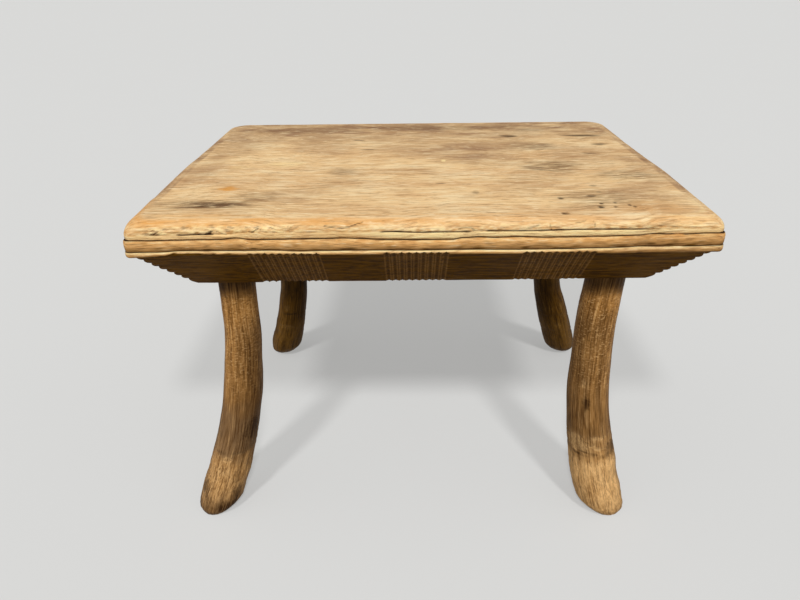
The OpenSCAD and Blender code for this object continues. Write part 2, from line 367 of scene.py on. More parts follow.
@dataclass(frozen=True)
class BranchFinish:
    """A dark branch, its colour and grain running with the bend, with pale burr on the foot."""

    name: str
    wood: Colour = paint(192, 138, 74)
    deep: Colour = paint(92, 56, 16)
    light: Colour = paint(232, 184, 122)
    grey: Colour = paint(128, 102, 74)
    pale: Colour = paint(240, 190, 128)
    # Soot and stains, and the painted shade on the branch
    soot: Colour = paint(50, 28, 6)
    dashes: float = 0.8
    bands: Noise = Noise((90.0, 90.0, 10.0))
    lines: Noise = Noise((520.0, 520.0, 19.0), 4.0, 0.62)
    fibres: Noise = Noise((900.0, 900.0, 60.0), 3.0)
    across: Noise = Noise((260.0, 260.0, 480.0), 3.0)
    burr: Noise = Noise((440.0, 440.0, 150.0), 5.0, 0.72)
    mottled: Noise = Noise((150.0, 150.0, 60.0))
    grain_depth: float = 1.3
    burr_depth: float = 2.4
    fibre_depth: float = 0.35

    def material(self) -> bpy.types.Material:
        """Builds the finish.

        Returns:
            The material. It reads the straightened place along the branch and the layers painted on its points.
        """
        w = Wiring(bpy.data.materials.new(self.name))
        branch = w.node("ShaderNodeAttribute", attribute_name="branch").outputs["Vector"]
        named = (self.bands, self.lines, self.fibres, self.across, self.burr, self.mottled)
        bands, lines, fibres, across, burr, mottled = (w.grain(branch, kind) for kind in named)
        flecked, pale = w.layer("flecked"), w.layer("pale")

        wood = w.coat(self.wood, self.deep, bands, (0.38, 0.66), 0.55)
        wood = w.over(w.times(w.layer("grey"), w.between(bands, 0.6, 1.0)), wood, self.grey)
        wood = w.over(w.times(pale, w.between(w.steps(mottled, 0.58, 0.42), 0.5, 0.98)), wood, self.pale)
        wood = w.coat(wood, self.deep, lines, (0.49, 0.66), w.between(pale, 0.8, 0.62))
        wood = w.coat(wood, self.light, lines, (0.46, 0.32), w.between(pale, 0.55, 0.6))
        wood = w.coat(wood, self.deep, across, (0.52, 0.66), w.times(flecked, 0.55))
        wood = w.coat(wood, self.light, across, (0.44, 0.34), w.times(flecked, 0.6))
        wood = w.coat(wood, self.deep, burr, (0.50, 0.60), w.times(pale, self.dashes))
        wood = w.coat(wood, self.light, burr, (0.47, 0.38), w.times(pale, 0.85))
        # Soot and stains, and painted shade under the block, on the inner side and at the rims, all in the soot colour
        stained = w.times(w.layer("soot"), w.between(w.steps(lines, 0.38, 0.6), 0.78, 1.0))
        wood = w.over(stained, wood, self.soot)

        rough = w.between(w.steps(bands, 0.3, 0.7), 0.46, 0.62)
        coarse = w.relief(w.sum("SUBTRACT", w.times(flecked, w.times(across, -0.5)), lines), self.grain_depth)
        rough_foot = w.relief(w.times(pale, w.times(burr, -1.0)), self.burr_depth, coarse)
        return w.close(w.surface(wood, rough, w.relief(fibres, self.fibre_depth, rough_foot)))


@dataclass(frozen=True)
class WedgeFinish:
    """Split, whittled wood that has never seen the light."""

    light: Colour = paint(224, 188, 140)
    dark: Colour = paint(170, 126, 80)
    lines: Noise = Noise((900.0, 300.0, 30.0), 5.0)
    facet_scale: float = 120.0
    facet_depth: float = 0.5
    line_depth: float = 0.25

    def material(self) -> bpy.types.Material:
        """Builds the finish.

        Returns:
            The material.
        """
        w = Wiring(bpy.data.materials.new("whittled_wedge"))
        place = w.place()
        lines = w.grain(place, self.lines)
        facets = w.even(place, self.facet_scale, 2.0, 0.4)
        wood = w.over(w.steps(lines, 0.35, 0.68), self.light, self.dark)
        cut = w.relief(facets, self.facet_depth, w.relief(lines, self.line_depth))
        return w.close(w.surface(wood, w.between(facets, 0.5, 0.75), cut))


class Side(Enum):
    """Left or right, as the viewer sees the table."""

    LEFT = -1
    RIGHT = 1


class Rank(Enum):
    """The front or the back pair of legs."""

    FRONT = -1
    BACK = 1


class Band(Enum):
    """One part of the plank's edge, from the top face down."""

    CROWN = "rounded upper edge"
    NARROW = "narrow bead"
    WIDE = "wide bead"
    LOW = "low bead"
    BEVEL = "bevel"


class Tint(Enum):
    """A layer of colour painted on the plank's points."""

    GRIME = "grime"
    WEATHERED = "weathered"
    GLOW = "glow"
    # Pale bare wood, and painted highlight on the upper parts of the beads
    FRESH = "fresh"
    # Cracks, cuts and split fibres, and painted shadow in the grooves and the flutes
    CRACK = "crack"
    # Old brown patina, and painted shade on the lower half of the wide bead
    PATINA = "patina"


@dataclass(frozen=True)
class Row:
    """One line of points round the plank: the band that it lies in and its share of the way down that band."""

    band: Band
    share: float


@dataclass(frozen=True)
class Spot:
    """A place on the rim: its line, where it is, how deep in a flute, and how near to the flute's border."""

    row: Row
    x: float
    y: float
    z: float
    cut: float = 0.0
    border: float = 1.0


@dataclass(frozen=True)
class Patch:
    """A stain, pit or bare spot on the top face, with a ragged outline drawn out along the grain."""

    tint: Tint
    x: float
    y: float
    length: float
    width: float
    strength: float
    depth: float = 0.0

    @classmethod
    def several(cls, tint: Tint, *sizes: tuple[float, ...]) -> tuple["Patch", ...]:
        """Makes patches of one tint, each from its place, length, width, strength and depth."""
        return tuple(cls(tint, *size) for size in sizes)

    def at(self, x: float, y: float) -> float:
        """Gives how much of the patch there is at a place.

        Args:
            x: Place along the plank.
            y: Place across it.

        Returns:
            A share from 0 to 1.
        """
        away = math.hypot((x - self.x) / self.length, (y - self.y) / self.width)
        if away > 1.7:
            return 0.0
        fray = 0.45 * min(1.0, self.length / 12)
        ragged = fray * ripple(x / (0.9 * self.length), y / (0.45 * self.width), 0.0, self.x)
        return self.strength * ease(1.15, 0.35, away + ragged)

    def near(self, x: float, y: float) -> bool:
        """Tells whether a place lies on the patch or close round it."""
        return abs(x - self.x) < 1.3 * self.length + 2 and abs(y - self.y) < 1.3 * self.width + 2


@dataclass(frozen=True)
class Cut:
    """A thin line on the worn upper edge, given by places (x, down), down from the start of the rounding."""

    line: tuple[tuple[float, float], ...]
    width: float
    depth: float

    def at(self, x: float, down: float) -> float:
        """Gives how deep in the cut a place lies.

        Args:
            x: Place along the plank.
            down: Place down the rounding.

        Returns:
            A share from 0 outside to 1 in the middle.
        """
        best = math.inf
        for (ax, ad), (bx, bd) in zip(self.line, self.line[1:]):
            dx, dd = bx - ax, bd - ad
            t = min(1.0, max(0.0, ((x - ax) * dx + (down - ad) * dd) / (dx * dx + dd * dd)))
            best = min(best, math.hypot(x - ax - t * dx, down - ad - t * dd))
        return ease(self.width, 0.2 * self.width, best)


# What each point of the plank knows while it is modelled: its line, its place along its side, and the way it faces
GUIDES = ("row", "across", "nx", "ny")
# How far a point is worn back, in millimetres, and the painted layers' values there
Worn = tuple[float, dict[Tint, float]]


@dataclass
class PlankTop:
    """The top: a slab with a moulded edge over a bevelled block with ribbed ends and banks of flutes."""

    # The whole plank and its worn, rounded upper edge
    half_x: float = 318.5
    half_y: float = 224.5
    top_z: float = 440.0
    slab_z: float = 402.5
    under_z: float = 346.5
    crown_run: float = 15.5
    crown_length: float = 20.0
    crown_lip: float = 1.6
    end_wear: float = 1.0
    upper_wear: float = 1.8
    # The bevelled block and the ribs on its ends
    side_inset: float = 50.0
    end_inset: float = 52.0
    side_ledge: float = 2.0
    end_ledge: float = 8.0
    ledge_dip: float = 0.8
    rib_count: int = 8
    rib_relief: float = 4.3
    rib_shape: Table = ((0.0, 1.0), (0.1, 0.5), (0.28, 0.1), (0.46, 0.0), (0.62, 0.1), (0.76, 0.38), (1.0, 1.0))
    rib_up: float = 0.62
    rib_in: float = 0.79
    low_rib_h: float = 9.0
    low_rib_share: float = 0.6
    # The banks of flutes: the middle of each and its count, and the cutter's notches and teeth
    flute_pitch: float = 7.9
    flute_w: float = 6.6
    flute_depth: float = 1.6
    notch_h: float = 2.4
    tooth_w: float = 3.4
    tooth_depths: tuple[float, float, float] = (0.2, 0.42, 0.2)
    banks: tuple[tuple[float, int], ...] = ((-147.0, 10), (-5.0, 9), (147.0, 10))
    # The blind mortises
    mortises: tuple[tuple[float, float], ...] = ((-224.5, -148), (226, -148), (-213, 148), (218, 148))
    mortise_r: float = 17.2
    mortise_z: float = 398.5
    mortise_sides: int = 48
    # How many lines of points each band and the top face have
    crown_rows: int = 15
    narrow_rows: int = 9
    wide_rows: int = 12
    low_rows: int = 8
    column_runs: tuple[int, ...] = (29, 20, 17, 18, 20, 20, 29)
    lanes: int = 108
    # The corners in plan, and how far from the middle of a side its lines of points run upright
    front_corner_r: float = 18.0
    back_corner_r: float = 25.0
    fixed_x: float = 215.0
    fixed_y: float = 130.0
    # The moulding away from the front, how full its beads are, and where the front's own wear fades out
    fade_start: float = 20.0
    fade_end: float = 120.0
    fullness: tuple[float, float, float] = (2.6, 2.5, 2.4)
    plain_lines: tuple[float, float, float, float] = (429.2, 422.0, 408.0, 401.3)
    plain_dips: tuple[float, float, float] = (0.8, 2.2, 1.8)
    # How much the plank is cut short toward the back
    short_left: Table = ((-146, 0.0), (-132, 1.5), (-60, 0.8), (-10, 0.4), (37, 2.6), (104, 4.2), (224, 6.0))
    short_right: Table = ((-60, 0.0), (37, 5.0), (104, 6.8), (224, 9.0))
    # The front's moulding as it was cut by hand: heights of its lines, depths of its grooves
    fine_line: Table = (
        (-296, 425.0), (-270, 425.4), (-232, 425.7), (-219, 425.6), (-205, 427.2), (-46, 427.4), (-36, 427.4),
        (0, 426.4), (46, 426.7), (72, 427.4), (121, 427.3), (185, 428.3), (310, 428.3),
    )
    fine_depth: Table = (
        (-300, 0.15), (-286, 0.6), (-278, 0.9), (-272, 0.3), (-260, 0.3), (-254, 1.2), (-222, 1.5), (-216, 0.3),
        (-46, 0.25), (-38, 1.3), (48, 1.4), (54, 0.5), (66, 0.5), (72, 1.2), (212, 1.3), (246, 0.7), (252, 0.3),
        (310, 0.25),
    )
    main_line: Table = (
        (-314, 420.2), (-288, 419.9), (-234, 420.5), (-213, 422.2), (-196, 420.0), (-108, 420.8), (-90, 421.3),
        (-70, 420.5), (-46, 419.2), (6, 418.6), (36, 418.9), (49, 420.6), (66, 421.5), (84, 420.6), (113, 421.3),
        (140, 420.4), (172, 420.5), (204, 421.0), (230, 421.6), (244, 422.0), (255, 423.6), (272, 423.9),
        (281, 423.0), (300, 424.2), (312, 424.2),
    )
    low_line: Table = (
        (-315, 406.8), (-287, 406.9), (-268, 408.2), (-216, 407.9), (-174, 408.2), (-142, 407.0), (-78, 407.4),
        (0, 407.0), (49, 407.5), (113, 407.0), (160, 407.4), (204, 408.2), (230, 408.8), (251, 410.0), (283, 410.0),
        (314, 410.8),
    )
    foot_line: Table = (
        (-314, 399.8), (-273, 402.2), (-230, 402.3), (-109, 401.9), (-22, 402.2), (105, 402.0), (190, 402.2),
        (230, 401.8), (262, 402.4), (314, 402.6),
    )
    under_line: Table = ((-266, 344.3), (-100, 345.5), (120, 346.2), (257, 347.4))
    main_depth: Table = (
        (-316, 0.7), (-300, 1.2), (-270, 2.8), (200, 3.4), (258, 2.8), (265, 0.7), (272, 0.7), (279, 2.4), (302, 1.4),
        (316, 0.7),
    )
    low_depth: Table = ((-316, 0.8), (-300, 1.4), (-240, 2.8), (240, 2.8), (300, 1.4), (316, 0.8))
    low_dark: Table = ((-316, 1.0), (-290, 0.95), (-264, 0.42), (-204, 0.48), (-176, 0.8), (316, 1.0))
    # Stains and damage
    patches: tuple[Patch, ...] = (
        Patch.several(
            Tint.GRIME,
            (-228, -170, 48, 15, 0.6), (-246, -166, 62, 20, 0.5), (-190, -142, 36, 20, 0.42), (-98, -50, 30, 20, 0.4),
            (-106, -108, 32, 16, 0.25), (-190, 176, 120, 34, 0.33), (60, 178, 160, 26, 0.45), (167, 62, 44, 26, 0.55),
            (173, -38, 44, 26, 0.7), (258, -76, 40, 26, 0.5), (200, -160, 50, 36, 0.4),
        ) + Patch.several(
            Tint.WEATHERED,
            (-150, -140, 50, 30, 0.4), (105, 128, 52, 24, 0.4), (-250, 120, 60, 60, 0.35), (-135, 62, 62, 36, 0.45),
            (112, 64, 95, 40, 0.5), (84, -6, 84, 32, 0.45), (152, -78, 50, 26, 0.3), (-285, -40, 30, 70, 0.4),
            (285, -60, 30, 90, 0.4), (-20, 60, 80, 50, 0.35), (60, 30, 90, 45, 0.4), (230, 20, 70, 60, 0.42),
            (250, -150, 45, 50, 0.4), (-270, 60, 40, 60, 0.4),
        ) + Patch.several(
            Tint.FRESH,
            (-178, -16, 30, 14, 0.5), (-236, -30, 16, 12, 0.35),
        ) + Patch.several(
            Tint.GLOW,
            (-235, -206, 90, 9, 0.5), (60, -207, 200, 7, 0.4), (255, -185, 50, 20, 0.3),
        )
    )
    marks: tuple[Patch, ...] = (
        Patch.several(
            Tint.GRIME,
            (-90, 105, 11, 5, 0.9, 0.3), (-71, 53, 13, 3.5, 0.9, 0.3), (178, 158, 30, 10, 0.5, 0.2),
            (240, 22, 12, 6, 0.6, 0.2), (26, -101, 8, 3, 0.7, 0.2), (65, -135, 5, 7, 0.6, 0.2),
        ) + Patch.several(
            Tint.CRACK,
            (143, 122, 17, 9, 0.7, 0.3), (258, 120, 34, 8, 0.72, 0.3), (268, 70, 14, 8, 0.6, 0.3),
            (152.5, -203.5, 5, 5.5, 1.0, 1.6), (195.5, -184, 4.4, 5, 0.9, 1.4), (198.5, -174, 3, 3.5, 0.75, 0.8),
            (194, -149, 7.5, 4, 0.75, 0.6), (158, -155.5, 4, 5, 0.75, 0.8), (214, -172.5, 2.6, 3, 0.75, 0.8),
            (211, -185, 2.8, 3, 0.75, 0.8), (206, -136, 4, 3.5, 0.4, 0.4), (227.5, -180, 2.6, 4, 0.7, 0.6),
            (231.5, -185, 2.6, 4, 0.6, 0.6), (205, -114, 5, 4, 0.4, 0.4),
        ) + Patch.several(
            Tint.FRESH,
            (34, -5, 4, 7, 1.0),
        ) + Patch.several(
            Tint.GLOW,
            (-230, -115, 13, 9, 1.0),
        )
    )
    cuts: tuple[Cut, ...] = (
        Cut(((-285, 20.2), (-282, 20.0), (-277.6, 17.8)), 1.2, 0.7),
        Cut(((-226, 20.4), (-222.8, 19.8), (-219.6, 17.4)), 1.4, 0.8),
        Cut(((-180, 21.0), (-176, 19.5), (-171, 16.0)), 1.0, 0.5),
        Cut(((-101, 13.4), (-92, 15.0), (-83, 16.0), (-75, 14.5), (-70, 12.5), (-66, 10.8), (-61, 9.6)), 0.9, 0.4),
        Cut(((40, 17.0), (51, 15.5), (54, 18.0), (56, 22.0)), 1.2, 0.7),
        Cut(((134, 14.0), (135, 21.0)), 1.1, 0.5),
        Cut(((111, 17.5), (118, 16.5), (122, 14.5)), 1.6, 0.8),
        Cut(((179, 11.0), (180.5, 18.0)), 1.0, 0.4),
        Cut(((215, 18.5), (225, 17.5), (240, 18.5), (248, 17.5)), 1.0, 0.7),
        Cut(((160, 12.6), (166, 11.4), (171, 9.8)), 0.9, 0.4),
    )

    def rows(self) -> list[Row]:
        """Lists the lines of points round the plank, from the top face down to the underside.

        Returns:
            The lines. A band that goes on from the one above shares its first line with it.
        """
        counts = (
            (Band.CROWN, 0, self.crown_rows),
            (Band.NARROW, 0, self.narrow_rows),
            (Band.WIDE, 1, self.wide_rows),
            (Band.LOW, 1, self.low_rows),
            (Band.BEVEL, 1, self.rib_count * (len(self.rib_shape) - 1)),
        )
        return [Row(band, i / last) for band, first, last in counts for i in range(first, last + 1)]

    def build(self) -> bpy.types.Object:
        """Models the plank and dresses it.

        Returns:
            The plank's object, in place.
        """
        bm = bmesh.new()
        for name in GUIDES:
            bm.verts.layers.float.new(name)
        self._lay_top(bm)
        self._run_edge(bm)
        self._refine(bm)
        self._carve(bm)
        self._close_underside(bm)
        bmesh.ops.recalc_face_normals(bm, faces=bm.faces)
        for name in GUIDES:
            bm.verts.layers.float.remove(bm.verts.layers.float[name])
        return finished_piece(bm, "carved_plank", PlankFinish().material())

    def _flat(self, half: float) -> float:
        """Gives how far the flat of the top face reaches, of the plank's half length or half width."""
        return half - self.upper_wear - self.crown_run

    def _lay_top(self, bm: bmesh.types.BMesh) -> None:
        """Starts with a grid over the flat of the top face, in step with the flutes, and rounds its four corners.

        Args:
            bm: The plank's mesh.
        """
        hx, hy = self._flat(self.half_x), self._flat(self.half_y)
        columns = sum(self.column_runs)
        bmesh.ops.create_grid(bm, x_segments=columns, y_segments=self.lanes, size=1.0)
        bmesh.ops.scale(bm, vec=(1.0, hy, 1.0), verts=bm.verts)
        ends = [-hx] + [c + s * n / 2 * self.flute_pitch for c, n in self.banks for s in (-1, 1)] + [hx]
        counts = [sum(self.column_runs[:i]) for i in range(len(ends))]
        for v in bm.verts:
            place = (v.co.x + 1) / 2 * columns
            i = max(k for k in range(len(ends) - 1) if counts[k] <= place + 1e-3)
            v.co.x = mixed(ends[i], ends[i + 1], (place - counts[i]) / self.column_runs[i])
        row, across, nx, ny = (bm.verts.layers.float[name] for name in GUIDES)
        for v in bm.verts:
            edge, r = v.is_boundary, self._corner(v.co.y)
            v[row] = 0.0 if edge else -1.0
            dx, dy = abs(v.co.x) - (hx - r), abs(v.co.y) - (hy - r)
            sx, sy = math.copysign(1, v.co.x), math.copysign(1, v.co.y)
            if dx > 1e-4 and dy > 1e-4:
                long, square = math.hypot(dx, dy), max(dx, dy)
                if edge:
                    v[nx], v[ny] = sx * dx / long, sy * dy / long
                v.co.x = sx * (hx - r + dx * square / long)
                v.co.y = sy * (hy - r + dy * square / long)
            elif edge:
                if abs(v.co.x) > hx - 1e-3:
                    v[nx], v[across] = sx, v.co.y / (hy - r)
                else:
                    v[ny], v[across] = sy, v.co.x / (hx - r)

    def _run_edge(self, bm: bmesh.types.BMesh) -> None:
        """Draws the grid's border down, one line of points for each row of the edge.

        Args:
            bm: The plank's mesh.
        """
        row = bm.verts.layers.float["row"]
        ring = [e for e in bm.edges if e.is_boundary]
        for number in range(1, len(self.rows())):
            ring = drawn_on(bm, ring)
            for v in corners(ring):
                v[row] = float(number)

    def _refine(self, bm: bmesh.types.BMesh) -> None:
        """Cuts the faces smaller where fine carving needs it: the front edge, the banks and the marks.

        Args:
            bm: The plank's mesh.
        """
        row, across, _, ny = (bm.verts.layers.float[name] for name in GUIDES)
        bands = [r.band for r in self.rows()]
        last_low, first_low = bands.index(Band.BEVEL) - 1, bands.index(Band.LOW)
        margin = 0.6
        chosen = []
        for e in bm.edges:
            a, b = e.verts
            if a[row] < 0 or a[row] != b[row] or abs(a[ny]) < 0.999 or abs(b[ny]) < 0.999:
                continue
            x = (a[across] + b[across]) / 2 * (self._flat(self.half_x) - self._corner(a[ny]))
            banked = any(abs(x - c) < (n / 2 + margin) * self.flute_pitch for c, n in self.banks)
            if (a[ny] < 0 and a[row] <= last_low) or (banked and a[row] >= first_low):
                chosen.append(e)
        bmesh.ops.subdivide_edges(bm, edges=chosen, cuts=2, use_grid_fill=True)
        near = [
            e
            for e in bm.edges
            if all(v[row] < 0 for v in e.verts) and any(m.near(v.co.x, v.co.y) for m in self.marks for v in e.verts)
        ]
        bmesh.ops.subdivide_edges(bm, edges=near, cuts=2, use_grid_fill=True)

    def _corner(self, y: float) -> float:
        """Gives the radius of the top face's corners at the front or at the back."""
        return self.front_corner_r if y < 0 else self.back_corner_r

    def _front(self, y: float) -> float:
        """Gives 1 on the front edge, fading to 0 a hand's width round the corner."""
        return ease(self.fade_end - self.half_y, self.fade_start - self.half_y, y)

    def _lines(self, x: float, y: float) -> tuple[float, float, float, float]:
        """Gives the heights of the moulding's lines at a place on the rim.

        Args:
            x: Place along the plank.
            y: Place across it.

        Returns:
            The heights of the fine groove, the two main grooves and the slab's foot.
        """
        front = self._front(y)
        wander = [0.8 * ripple(x / 60, y / 60, k * 3.1) + 0.35 * ripple(x / 17, y / 17, k * 5.3) for k in range(4)]
        drawn = (self.fine_line, self.main_line, self.low_line, self.foot_line)
        return tuple(mixed(self.plain_lines[k] + wander[k], along(drawn[k], x), front) for k in range(4))

    def _bead(self, share: float, crest: float, upper: float, lower: float, flat: float) -> tuple[float, float]:
        """Gives one point of a bead.

        Args:
            share: Share of the way over the bead, from its upper groove to its lower one.
            crest: How far the bead's crest lies in from the edge.
            upper: How far the upper groove lies in.
            lower: How far the lower groove lies in.
            flat: How full the bead is: 2 is a half round, and more is flatter.

        Returns:
            How far the point lies in from the edge, and its share of the way down the bead.
        """
        a = math.pi * share
        groove = upper if share < 0.5 else lower
        bulge = (1 - abs(math.cos(a)) ** flat) ** (1 / flat)
        return crest + (groove - crest) * (1 - bulge), (1 - math.cos(a)) / 2

    def _section(self, row: Row, x: float, y: float, end: float) -> tuple[float, float]:
        """Gives a point of the edge's section.

        Args:
            row: The line of points, on any band but the bevel.
            x: Place along the plank.
            y: Place across it.
            end: 1 on the two ends, 0 on the two long sides, and between them round a corner.

        Returns:
            How far the point lies in from the edge, and its height.
        """
        fine, main, low, foot = self._lines(x, y)
        crest = self.upper_wear
        if row.band is Band.CROWN:
            a = math.pi / 2 * row.share
            run = self.crown_run + self.end_wear * end * (1 - row.share)
            fall = self.top_z - fine - self.crown_lip
            return crest + run * (1 - math.sin(a)), self.top_z - fall * (1 - math.cos(a))
        front, drawn = self._front(y), (self.fine_depth, self.main_depth, self.low_depth)
        fine_dip, main_dip, low_dip = (mixed(self.plain_dips[k], along(drawn[k], x), front) for k in range(3))
        beads = {
            Band.NARROW: (crest, crest + fine_dip, crest + main_dip, self.fullness[0], fine, main),
            Band.WIDE: (0.0, crest + main_dip, low_dip, self.fullness[1], main, low),
            Band.LOW: (0.0, low_dip, self.side_ledge + self.ledge_dip, self.fullness[2], low, foot),
        }
        *bead, top, bottom = beads[row.band]
        inset, share = self._bead(row.share, *bead)
        return inset, mixed(top, bottom, share)

    def _bevel(self, row: Row, x: float, foot: float, ribbed: float) -> tuple[float, float, float]:
        """Gives one line of points on the block's bevels.

        Args:
            row: The line of points.
            x: Place along the plank.
            foot: Height of the slab's foot there.
            ribbed: How much the line follows the ribs of the ends, from 0 to 1.

        Returns:
            How far the line lies in on the long sides, how far on the ends, and its height.
        """
        height = self.slab_z - self.under_z
        plain = (height - self.low_rib_h) / (self.rib_count - 1) / height
        steps = len(self.rib_shape) - 1
        rib, part = divmod(round(row.share * self.rib_count * steps), steps)
        if rib >= self.rib_count:
            rib, part = self.rib_count - 1, steps
        start = rib * plain
        size = plain if rib < self.rib_count - 1 else 1 - start
        t, hollow = self.rib_shape[part]
        hollow *= self.rib_relief
        if rib == self.rib_count - 1 and t > 0.5:
            hollow, ribbed = self.low_rib_share * hollow, 0.0
        down, low = start + size * t, along(self.under_line, x)
        z = mixed(foot, low, down) + self.rib_up * hollow * ribbed
        side = mixed(self.side_ledge + self.ledge_dip, self.side_inset, (foot - z) / (foot - low))
        return side, mixed(self.end_ledge, self.end_inset, down) + self.rib_in * hollow, z

    def _flute(self, x: float, z: float, foot: float) -> tuple[float, float]:
        """Finds the flute at a place on a long side.

        Args:
            x: Place along the plank.
            z: Height.
            foot: Height of the slab's foot there.

        Returns:
            How far in from the edge its cutter reached, and the share of the way from its middle to its border.
            Outside the flutes it gives 0 and 1.
        """
        for number, (middle, count) in enumerate(self.banks):
            place = (x - middle) / self.flute_pitch + (count - 1) / 2
            index = round(place)
            if not 0 <= index < count:
                continue
            wander = 0.5 * ripple(index * 1.3, z / 20, number * 4.0)
            half = self.flute_w / 2 * (1.06 + 0.1 * ripple(index * 2.1, 0.5, number))
            off = (place - index) * self.flute_pitch - wander
            if abs(off) >= half:
                continue
            notch = (self.notch_h + 1.5 * ripple(index * 3.7, 2.0, number * 5.0)) * (1.15 - abs(off) / half)
            fade = ease(notch + 0.5, notch - 0.5, z - foot)
            depth = self.flute_depth * (1 - (off / half) ** 2) * fade
            turns = off / self.tooth_w + 0.3 * ripple(index, z / 12, number * 7.0)
            teeth = self.tooth_depths[number] * math.cos(math.tau * turns)
            slope = (self.side_inset - self.side_ledge) / (self.slab_z - self.under_z)
            plane = self.side_ledge + (foot - z) * slope
            return plane + (depth + fade * teeth * (1 - abs(off) / half)) * math.hypot(1, slope), abs(off) / half
        return 0.0, 1.0

    def _carve(self, bm: bmesh.types.BMesh) -> None:
        """Puts every point in its place on the carved and worn plank, and paints its layers.

        Args:
            bm: The plank's mesh.
        """
        rows = self.rows()
        row, across, nx, ny = (bm.verts.layers.float[name] for name in GUIDES)
        tints = {t: bm.verts.layers.float.new(t.value) for t in Tint}
        for v in bm.verts:
            if v[row] < 0:
                self._wear_top(v, tints)
            else:
                self._shape_rim(v, rows[round(v[row])], v[across], v[nx], v[ny], tints)

    def _radius(self, row: Row, y: float) -> float:
        """Gives the corner's radius in plan on one line of points.

        Args:
            row: The line of points.
            y: Below 0 at the front, above it at the back.

        Returns:
            The radius.
        """
        corner = self._corner(y)
        if row.band is Band.CROWN:
            return mixed(corner + self.upper_wear + self.crown_run, 0.66 * corner, row.share)
        if row.band is Band.BEVEL:
            return mixed(5.0, 1.5, min(1.0, row.share * 3))
        return corner * {Band.NARROW: 0.6, Band.WIDE: 0.45, Band.LOW: 0.36}[row.band]

    def _taper(self, x: float, y: float) -> float:
        """Gives how much narrower the plank is at a place, as a share: it was cut a little short toward the back."""
        cut = along(self.short_right if x > 0 else self.short_left, y)
        return 1 - cut / self.half_x

    def _shape_rim(
        self,
        v: bmesh.types.BMVert,
        row: Row,
        across: float,
        nx: float,
        ny: float,
        tints: dict[Tint, bmesh.types.BMLayerItem],
    ) -> None:
        """Places and paints one point of the rim.

        Args:
            v: The point.
            row: Its line.
            across: Its share of the way from the middle of its side, from -1 to 1.
            nx: The way it faces, along X.
            ny: The way it faces, along Y.
            tints: The painted layers.
        """
        end = nx * nx
        corner = abs(nx) > 1e-6 and abs(ny) > 1e-6
        radius = self._radius(row, ny if abs(ny) > 1e-6 else across)
        sx, sy = math.copysign(1, nx), math.copysign(1, ny)
        guess_x = sx * self.half_x if corner or end > 0.5 else across * (self.half_x - radius)
        guess_y = sy * self.half_y if corner or end < 0.5 else across * (self.half_y - radius)
        if row.band is Band.BEVEL:
            ribbed = 1.0 if corner or end > 0.5 else ease(0.93, 1.0, abs(across))
            foot = self._lines(guess_x, guess_y)[3]
            side_inset, end_inset, z = self._bevel(row, guess_x, foot, ribbed)
            hx, hy, outer, inset = self.half_x - end_inset, self.half_y - side_inset, radius, 0.0
        else:
            inset, z = self._section(row, guess_x, guess_y, end)
            hx, hy, outer = self.half_x, self.half_y, radius - inset
        if corner:
            x, y = sx * (hx - radius) + outer * nx, sy * (hy - radius) + outer * ny
        elif end > 0.5:
            x = sx * (hx - inset)
            whole = self._flat(self.half_y) - self._corner(across)
            y = self._spread(across, hy - radius, self.fixed_y, whole)
        else:
            whole = self._flat(self.half_x) - self._corner(ny)
            x = self._spread(across, hx - radius, self.fixed_x, whole)
            y = sy * (hy - inset)
        foot = self._lines(x, y)[3]
        spot = Spot(row, x, y, z)
        if not corner and end < 0.5 and row.band in (Band.LOW, Band.BEVEL):
            reach, border = self._flute(x, z, foot)
            now = self.half_y - abs(y)
            y = sy * (self.half_y - max(now, reach))
            spot = Spot(row, x, y, z, max(0.0, reach - now), border)
        worn, colours = self._wear_rim(spot)
        x, y = x - worn * nx, y - worn * ny
        if row.band is Band.CROWN:
            z -= 0.45 * (0.5 + 0.5 * ripple(x / 34, y / 34, 2.0)) * (1 - 0.4 * row.share)
        v.co = Vector((x * self._taper(x, y), y, min(z, self.top_z)))
        for tint, value in colours.items():
            v[tints[tint]] = min(1.0, max(0.0, value))

    def _spread(self, share: float, reach: float, fixed: float, whole: float) -> float:
        """Gives a place along a side: upright lines in the middle, drawn in near its ends as the block narrows.

        Args:
            share: Share of the way from the side's middle to its end, from -1 to 1.
            reach: Half length of the side's straight part on this line of points.
            fixed: How far from the middle the lines run upright.
            whole: Half length of the straight part on the top face.

        Returns:
            The place.
        """
        place = abs(share) * whole
        if place > fixed:
            place = fixed + (place - fixed) * (reach - fixed) / (whole - fixed)
        return math.copysign(place, share)

    def _wear_rim(self, spot: Spot) -> Worn:
        """Gives how far a point of the rim is worn back, and what is painted there.

        Args:
            spot: The point.

        Returns:
            The wear in millimetres, and the painted layers' values.
        """
        x, y, z = spot.x, spot.y, spot.z
        even = 0.25 + 0.3 * ripple(x / 40, y / 40, z / 30, 3.0) + 0.16 * ripple((x + 1.3 * y) / 12, z / 5, 1.0)
        ways = {Band.BEVEL: self._wear_bevel, Band.CROWN: self._wear_crown}
        worn, colours = ways.get(spot.row.band, self._wear_bead)(spot)
        return even + worn, colours

